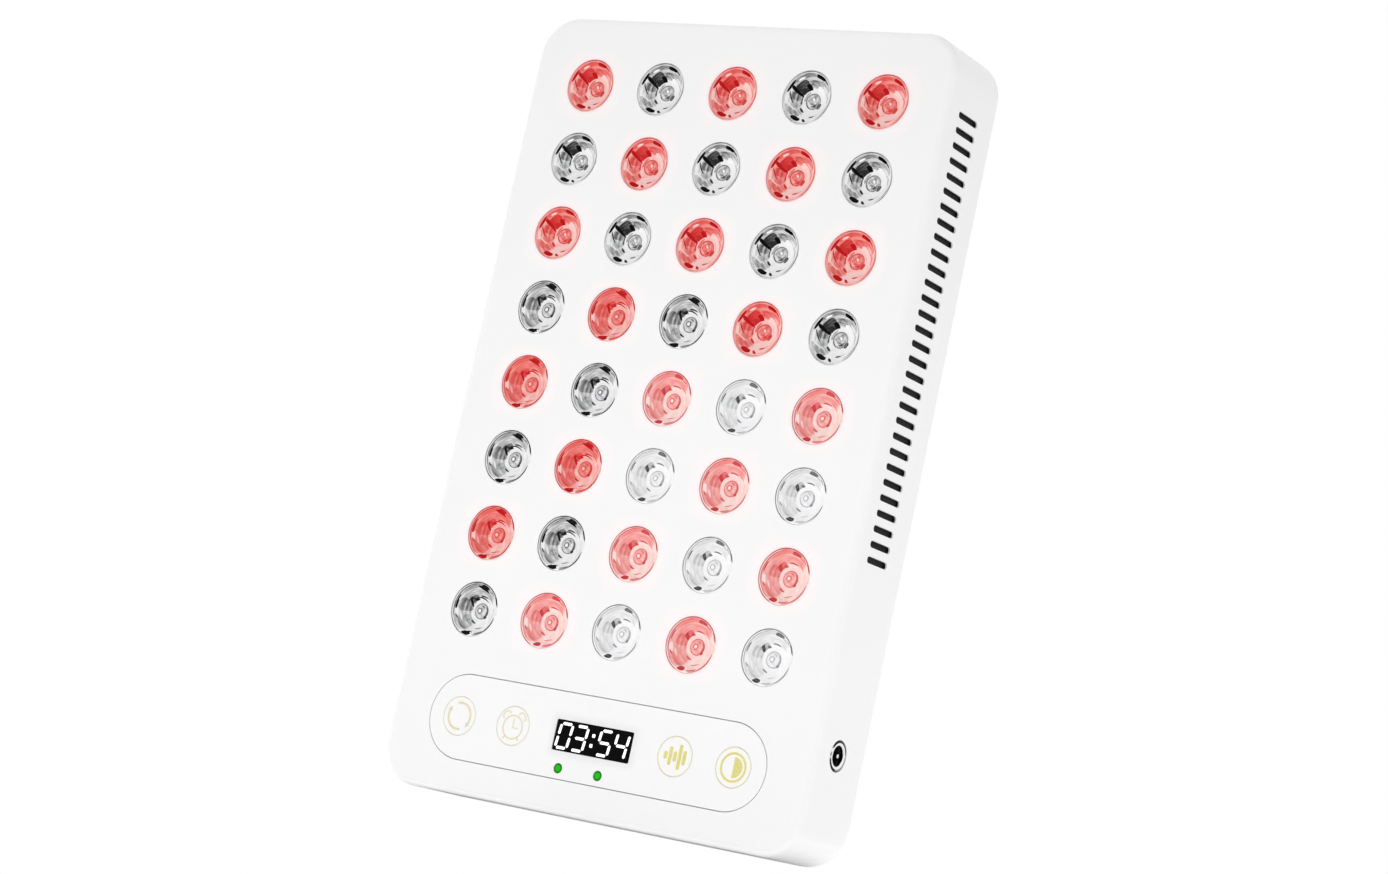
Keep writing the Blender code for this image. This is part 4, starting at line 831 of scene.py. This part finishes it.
# The plating's colour holds a painted reflection of the dark behind it in arcs: ring, middle angle,
# half angle and depth.
PAINTED_REFLECTION_ARCS = ((BEVEL, 82, 70, 1), (BEVEL, 232, 38, 1), (BEVEL, 315, 50, 0.6), (BEVEL, 178, 7, 0.8),
        (THROAT, -5, 20, 1), (THROAT, 180, 100, 1))
chrome, tree, shader, place = new_finish("bright_plating", Metallic=1)
x, _, z = in_mm(tree, place)
turn = work(tree, "DEGREES", work(tree, "ARCTAN2", z, x))
radius = distance(tree, x, z)
smear = noise(tree, place, 600, 3)
# Painted reflection: each arc darkens the plating's colour.
dark = 0
for (low, high), middle, half, depth in PAINTED_REFLECTION_ARCS:
    bend = work(tree, "ABSOLUTE", work(tree, "WRAP", work(tree, "SUBTRACT", turn, middle), 180, -180))
    arc = work(tree, "MULTIPLY", spread(tree, bend, half - 8, half + 8, depth, 0, True),
               work(tree, "COMPARE", radius, (low + high) / 2, (high - low) / 2))
    dark = work(tree, "MAXIMUM", dark, arc)
feed(tree, shader, Base_Color=tint(tree, dark, (0.86, 0.86, 0.87), (0.02, 0.02, 0.02)),
     Roughness=spread(tree, smear, 0.3, 0.7, 0.10, 0.22))
ring = bmesh.new()
profile = ([(3.8, 12.5)] + curve(4.2, 0.5, 0.4, 180, 270, 5) + curve(5.15, 0.45, 0.45, 290, 360, 5)
           + [(5.6, 2.3), (6.8, 2.3), (6.8, 12.5)])
turned(ring, profile, 14, looped=True)
socket = add_piece("socket_ring", ring, chrome, "housing", ["dc_jack"])
black_nylon = moulded("black_nylon", (0.012, 0.012, 0.012), (0.008, 0.008, 0.009), 0.5, 1600,
                      0.00003, Specular_IOR_Level=0.25)[0]
cup = bmesh.new()
turned(cup, [(0.7, 0.45), (0.7, 9.8), (3.5, 9.8), (3.5, 2.0), (3.6, 1.85), (3.7, 1.85), (3.75, 1.95),
             (3.75, 10.5)], 12)
core = add_piece("socket_core", cup, black_nylon, "housing")
pin_steel = bare_metal("pin_steel", (0.75, 0.75, 0.76), (0.9, 0.9, 0.9), (0.15, 0.35), 1400)[0]
contact = bmesh.new()
turned(contact, [(0.3, 0.1), (0.55, 0.14), (0.73, 0.3), (0.75, 0.42), (0.6, 0.5), (0.6, 9.9)], 8)
pin = add_piece("socket_pin", contact, pin_steel, "housing")
for piece in (socket, core, pin):
    piece.matrix_world = (Matrix.Translation(Vector((SIDE, SOCKET_Y, SOCKET_HEIGHT)) * MM)
                          @ Matrix.Rotation(pi / 2, 4, "Z"))


# Fan: a flat 60 mm fan in black plastic, screwed to the inside of the rear cover. The frame
# carries the hub on four struts, and seven twisted blades turn behind the grille.
fan_black = moulded("fan_black", (0.020, 0.020, 0.021), (0.014, 0.014, 0.014), 0.45, 1500,
                    0.00004)[0]
dress(fan_black, "fan_frame", "fan_rotor")


# Rear cover: a flat white moulding let into the back of the tub and held by six screws. It has a
# slotted grille over the fan, and a deep well with a finger notch for the folding stand.
WELL_WIDTH, WELL_FOOT, WELL_HEAD, WELL_DEEP, WELL_FLOOR = 71, 44.5, 153.0, 5.2, 1.5
NOTCH_WIDTH, NOTCH_HEIGHT, NOTCH_FOOT = 24, 10, 36
FAN_HEIGHT, FAN_REACH = 220, 25
GRILLE_REACH, GRILLE_PITCH, GRILLE_SLOT, GRILLE_SLOTS = 27, 5.2, 2.8, 9
SEAT, SEAT_DEEP, SCREW_HOLE, THROUGH_COVER = 6.2, 1.1, 3.4, 3
SCREWS = POSTS + [(x, FAN_HEIGHT + z) for x in (-FAN_REACH, FAN_REACH)
                  for z in (-FAN_REACH, FAN_REACH)]


def on_back(x, z):
    """Place a shape on the back, with its depth into the panel."""
    return Matrix.Translation((x, REAR, z)) @ Matrix.Rotation(pi, 4, "Z")


rear_white = moulded("rear_white", (0.92, 0.92, 0.92), (0.905, 0.905, 0.907), 0.5, 1900, 0.00006)[0]
cover = bmesh.new()
section = curve(-2.8, 0.5, 0.5, 270, 360, 4) + [(-2.3, 2.0)]
skin(cover, (PANEL_WIDTH, PANEL_HEIGHT, CORNER, CORNER_STEPS), section,
     on_back(0, PANEL_HEIGHT / 2))
shell = bmesh.new()
foot, head = NOTCH_FOOT - WELL_FLOOR, WELL_HEAD + WELL_FLOOR
skin(shell, (WELL_WIDTH + 8, head - foot, 3.5, 5), [(0, 1), (0, WELL_DEEP + WELL_FLOOR)],
     on_back(0, (foot + head) / 2))
steel = bmesh.new()
opening(steel, (WELL_WIDTH, WELL_HEAD - WELL_FOOT, 0.5, 4), WELL_DEEP, 0.3,
        on_back(0, (WELL_HEAD + WELL_FOOT) / 2))
opening(steel, (NOTCH_WIDTH, NOTCH_HEIGHT, 3, 5), WELL_DEEP - 0.01, 0.3,
        on_back(0, NOTCH_FOOT + NOTCH_HEIGHT / 2))
for number in range(GRILLE_SLOTS):
    rise = (number - (GRILLE_SLOTS - 1) / 2) * GRILLE_PITCH
    chord = sqrt(GRILLE_REACH ** 2 - rise ** 2) * 2
    opening(steel, (chord, GRILLE_SLOT, GRILLE_SLOT / 2 - 0.01, 6), THROUGH_COVER, 0.3,
            on_back(0, FAN_HEIGHT + rise), 3)
for x, z in SCREWS:
    opening(steel, disc(SEAT, 8), SEAT_DEEP, 0.25, on_back(x, z), 3)
    skin(steel, disc(SCREW_HOLE, 6), [(0, SEAT_DEEP - 0.2), (0, THROUGH_COVER)], on_back(x, z))
add_piece("back_plate", cover, rear_white, "housing", ["rear_cover"],
          joined=shell, carved=steel, crossing=True)


# Folding stand: a white leg that lies in the well and swings out on a steel pin. Its foot has
# round corners, and shallow ribs near the foot give a finger some grip.
STAND_HALF, STAND_LENGTH, STAND_THICK, STAND_OUT = 35, 105, 3.4, 17.7
STAND_CORNER, STAND_EDGE, BACK_EDGE = 8, 0.6, 0.4
HINGE_Y, HINGE_Z, BARREL, PIN_HOLE, PIN, PIN_REACH = 15.3, 150, 2.2, 1.3, 1, 38.3
RIB_LENGTH, RIB_WIDTH, RIB_FOOT, RIB_PITCH, RIBS = 30, 1.2, 54, 3, 5
ON_HINGE = Matrix.Translation((0, HINGE_Y, HINGE_Z)) @ Matrix.Rotation(-pi / 2, 4, "Z")
leg = bmesh.new()
back = STAND_OUT - STAND_THICK
side, foot = STAND_HALF - STAND_CORNER, HINGE_Z - STAND_LENGTH + STAND_CORNER
rows = []
for inset, y in (curve(STAND_EDGE, STAND_OUT - STAND_EDGE, STAND_EDGE, 90, 180, 4)
                 + [(0, back + BACK_EDGE), (BACK_EDGE, back)]):
    bend = STAND_CORNER - inset
    points = ([(STAND_HALF - inset, HINGE_Z - inset)] + curve(side, foot, bend, 0, -90, 8)
              + curve(-side, foot, bend, -90, -180, 8) + [(inset - STAND_HALF, HINGE_Z - inset)])
    rows.append([leg.verts.new((x, y, z)) for x, z in points])
stitch(leg, rows)
barrel = bmesh.new()
turned(barrel, [(BARREL - 0.2, -STAND_HALF), (BARREL, 0.2 - STAND_HALF), (BARREL, STAND_HALF - 0.2),
                (BARREL - 0.2, STAND_HALF)], 10, ON_HINGE)
grip = bmesh.new()
for number in range(RIBS):
    skin(grip, (RIB_LENGTH, RIB_WIDTH, 0.55, 4), [(0.2, -1), (0.2, 0), (-0.1, 0.4)],
         on_back(0, RIB_FOOT + number * RIB_PITCH) @ Matrix.Translation((0, REAR - STAND_OUT, 0)))
turned(grip, [(PIN_HOLE, -STAND_HALF - 1), (PIN_HOLE, STAND_HALF + 1)], 8, ON_HINGE)
add_piece("folding_leg", leg, rear_white, "kickstand", ["kickstand"],
          joined=barrel, carved=grip)

ground_steel = bare_metal("ground_steel", (0.52, 0.52, 0.54), (0.68, 0.68, 0.70), (0.22, 0.4), 2500,
                          drawn=(1, 0.05, 0.05))[0]
rod = bmesh.new()
turned(rod, [(PIN - 0.3, -PIN_REACH), (PIN, 0.3 - PIN_REACH), (PIN, PIN_REACH - 0.3),
             (PIN - 0.3, PIN_REACH)], 8, ON_HINGE)
add_piece("hinge_rod", rod, ground_steel, "housing", ["stand_pin"])


# Screws: ten zinc plated pan heads with a cross recess, six in the rear cover and four through it
# into the fan frame. They sit in shallow seats, so nothing stands proud of the back.
HEAD, HEAD_FOOT, SHANK, SHANK_END = 2.8, 1.08, 1.4, 4.0
zinc = bare_metal("zinc_plate", (0.55, 0.56, 0.58), (0.74, 0.75, 0.76), (0.25, 0.45), 900, 5)[0]
for number, (x, z) in enumerate(SCREWS):
    head = bmesh.new()
    turned(head, [(1.2, 0.16), (2.0, 0.22), (2.5, 0.4), (2.75, 0.7), (HEAD, HEAD_FOOT),
                  (SHANK, HEAD_FOOT), (SHANK, SHANK_END)], 8, on_back(x, z))
    cross = bmesh.new()
    for turn in (0, pi / 2):
        skin(cross, (3.0, 0.7, 0.25, 2), [(0.1, -0.5), (0.05, 0.2), (-0.1, 0.85)],
             on_back(x, z) @ Matrix.Rotation(turn + number * 0.7, 4, "Y"))
    bmesh.ops.remove_doubles(cross, verts=cross.verts, dist=0.00001)
    add_piece(f"screw_{number + 1}", head, zinc, "housing", carved=cross, crossing=True)


# Floor, light and camera: a pale floor, seen from above only, that fades into an even white
# surround, and five wide soft lamps.
FLOOR_REACH, FLOOR_DROP, FADE_START, FADE_END = 3, 0.0005, 300, 600
scene = bpy.context.scene
scene.view_settings.view_transform = "Standard"
floor_mesh = bpy.data.meshes.new("floor")
corners = ((-1, -1), (1, -1), (1, 1), (-1, 1))
floor_mesh.from_pydata([(x * FLOOR_REACH, y * FLOOR_REACH, -FLOOR_DROP) for x, y in corners], [],
                       [(0, 1, 2, 3)])
floor = bpy.data.objects.new("floor", floor_mesh)
scene.collection.objects.link(floor)
floor.visible_shadow = False
pale_floor, tree, shader, place = new_finish("pale_floor", Roughness=0.8)
dust = tint(tree, noise(tree, place, 40, 4), (0.93, 0.93, 0.93), (0.91, 0.91, 0.91))
feed(tree, shader, Base_Color=dust)
x, y, _ = in_mm(tree, place)
gone = work(tree, "MAXIMUM", wire(tree, "NewGeometry").outputs["Backfacing"],
            spread(tree, distance(tree, x, y), FADE_START, FADE_END, 0, 1, True))
see_through = wire(tree, "BsdfTransparent")
mix = wire(tree, "MixShader", {0: gone, 1: shader.outputs[0], 2: see_through.outputs[0]})
feed(tree, tree.nodes["Material Output"], Surface=mix.outputs[0])
floor_mesh.materials.append(pale_floor)

world = bpy.data.worlds.new("white_surround")
scene.world = world
world.use_nodes = True
tree = world.node_tree
ray = wire(tree, "LightPath").outputs
seen = work(tree, "MAXIMUM", ray["Is Camera Ray"],
            work(tree, "MAXIMUM", ray["Is Glossy Ray"], ray["Is Transmission Ray"]))
SURROUND, BACKDROP = 0.485, 1.0
feed(tree, tree.nodes["Background"], Strength=spread(tree, seen, 0, 1, SURROUND, BACKDROP))
tree.nodes["Background"].inputs["Color"].default_value = (1, 1, 1, 1)

PANEL_MIDDLE = Vector((0, 0, 0.15))
LAMPS = (("front_lamp", (-0.01, -0.6, -0.03), 0.9, 3.2),
         ("side_lamp", (0.888, 0.255, -0.104), 0.9, 3.88),
         ("back_lamp", (-0.3, 1.3, 0.6), 1.2, 5.9),
         ("left_lamp", (-1.45, 0.15, 0.4), 1.0, 4.8),
         ("top_lamp", (0, 0, 1.7), 1.2, 7.4))
for name, spot, size, power in LAMPS:
    light = bpy.data.lights.new(name, "AREA")
    light.size = size
    light.energy = power
    lamp = bpy.data.objects.new(name, light)
    lamp.location = spot
    lamp.rotation_euler = (PANEL_MIDDLE - lamp.location).to_track_quat("-Z", "Y").to_euler()
    lamp.visible_camera = False
    lamp.visible_glossy = False
    scene.collection.objects.link(lamp)

camera = bpy.data.objects.new("camera", bpy.data.cameras.new("camera"))
camera.data.lens = 85.2164
camera.data.sensor_width = 36
camera.matrix_world = Matrix((
    (0.83247312, -0.10381285, 0.54425306, 0.68637408),
    (0.51358837, -0.22396968, -0.82829015, -1.03852228),
    (0.20788335, 0.96905133, -0.13313166, -0.01600000),
    (0, 0, 0, 1)))
scene.collection.objects.link(camera)
scene.camera = camera
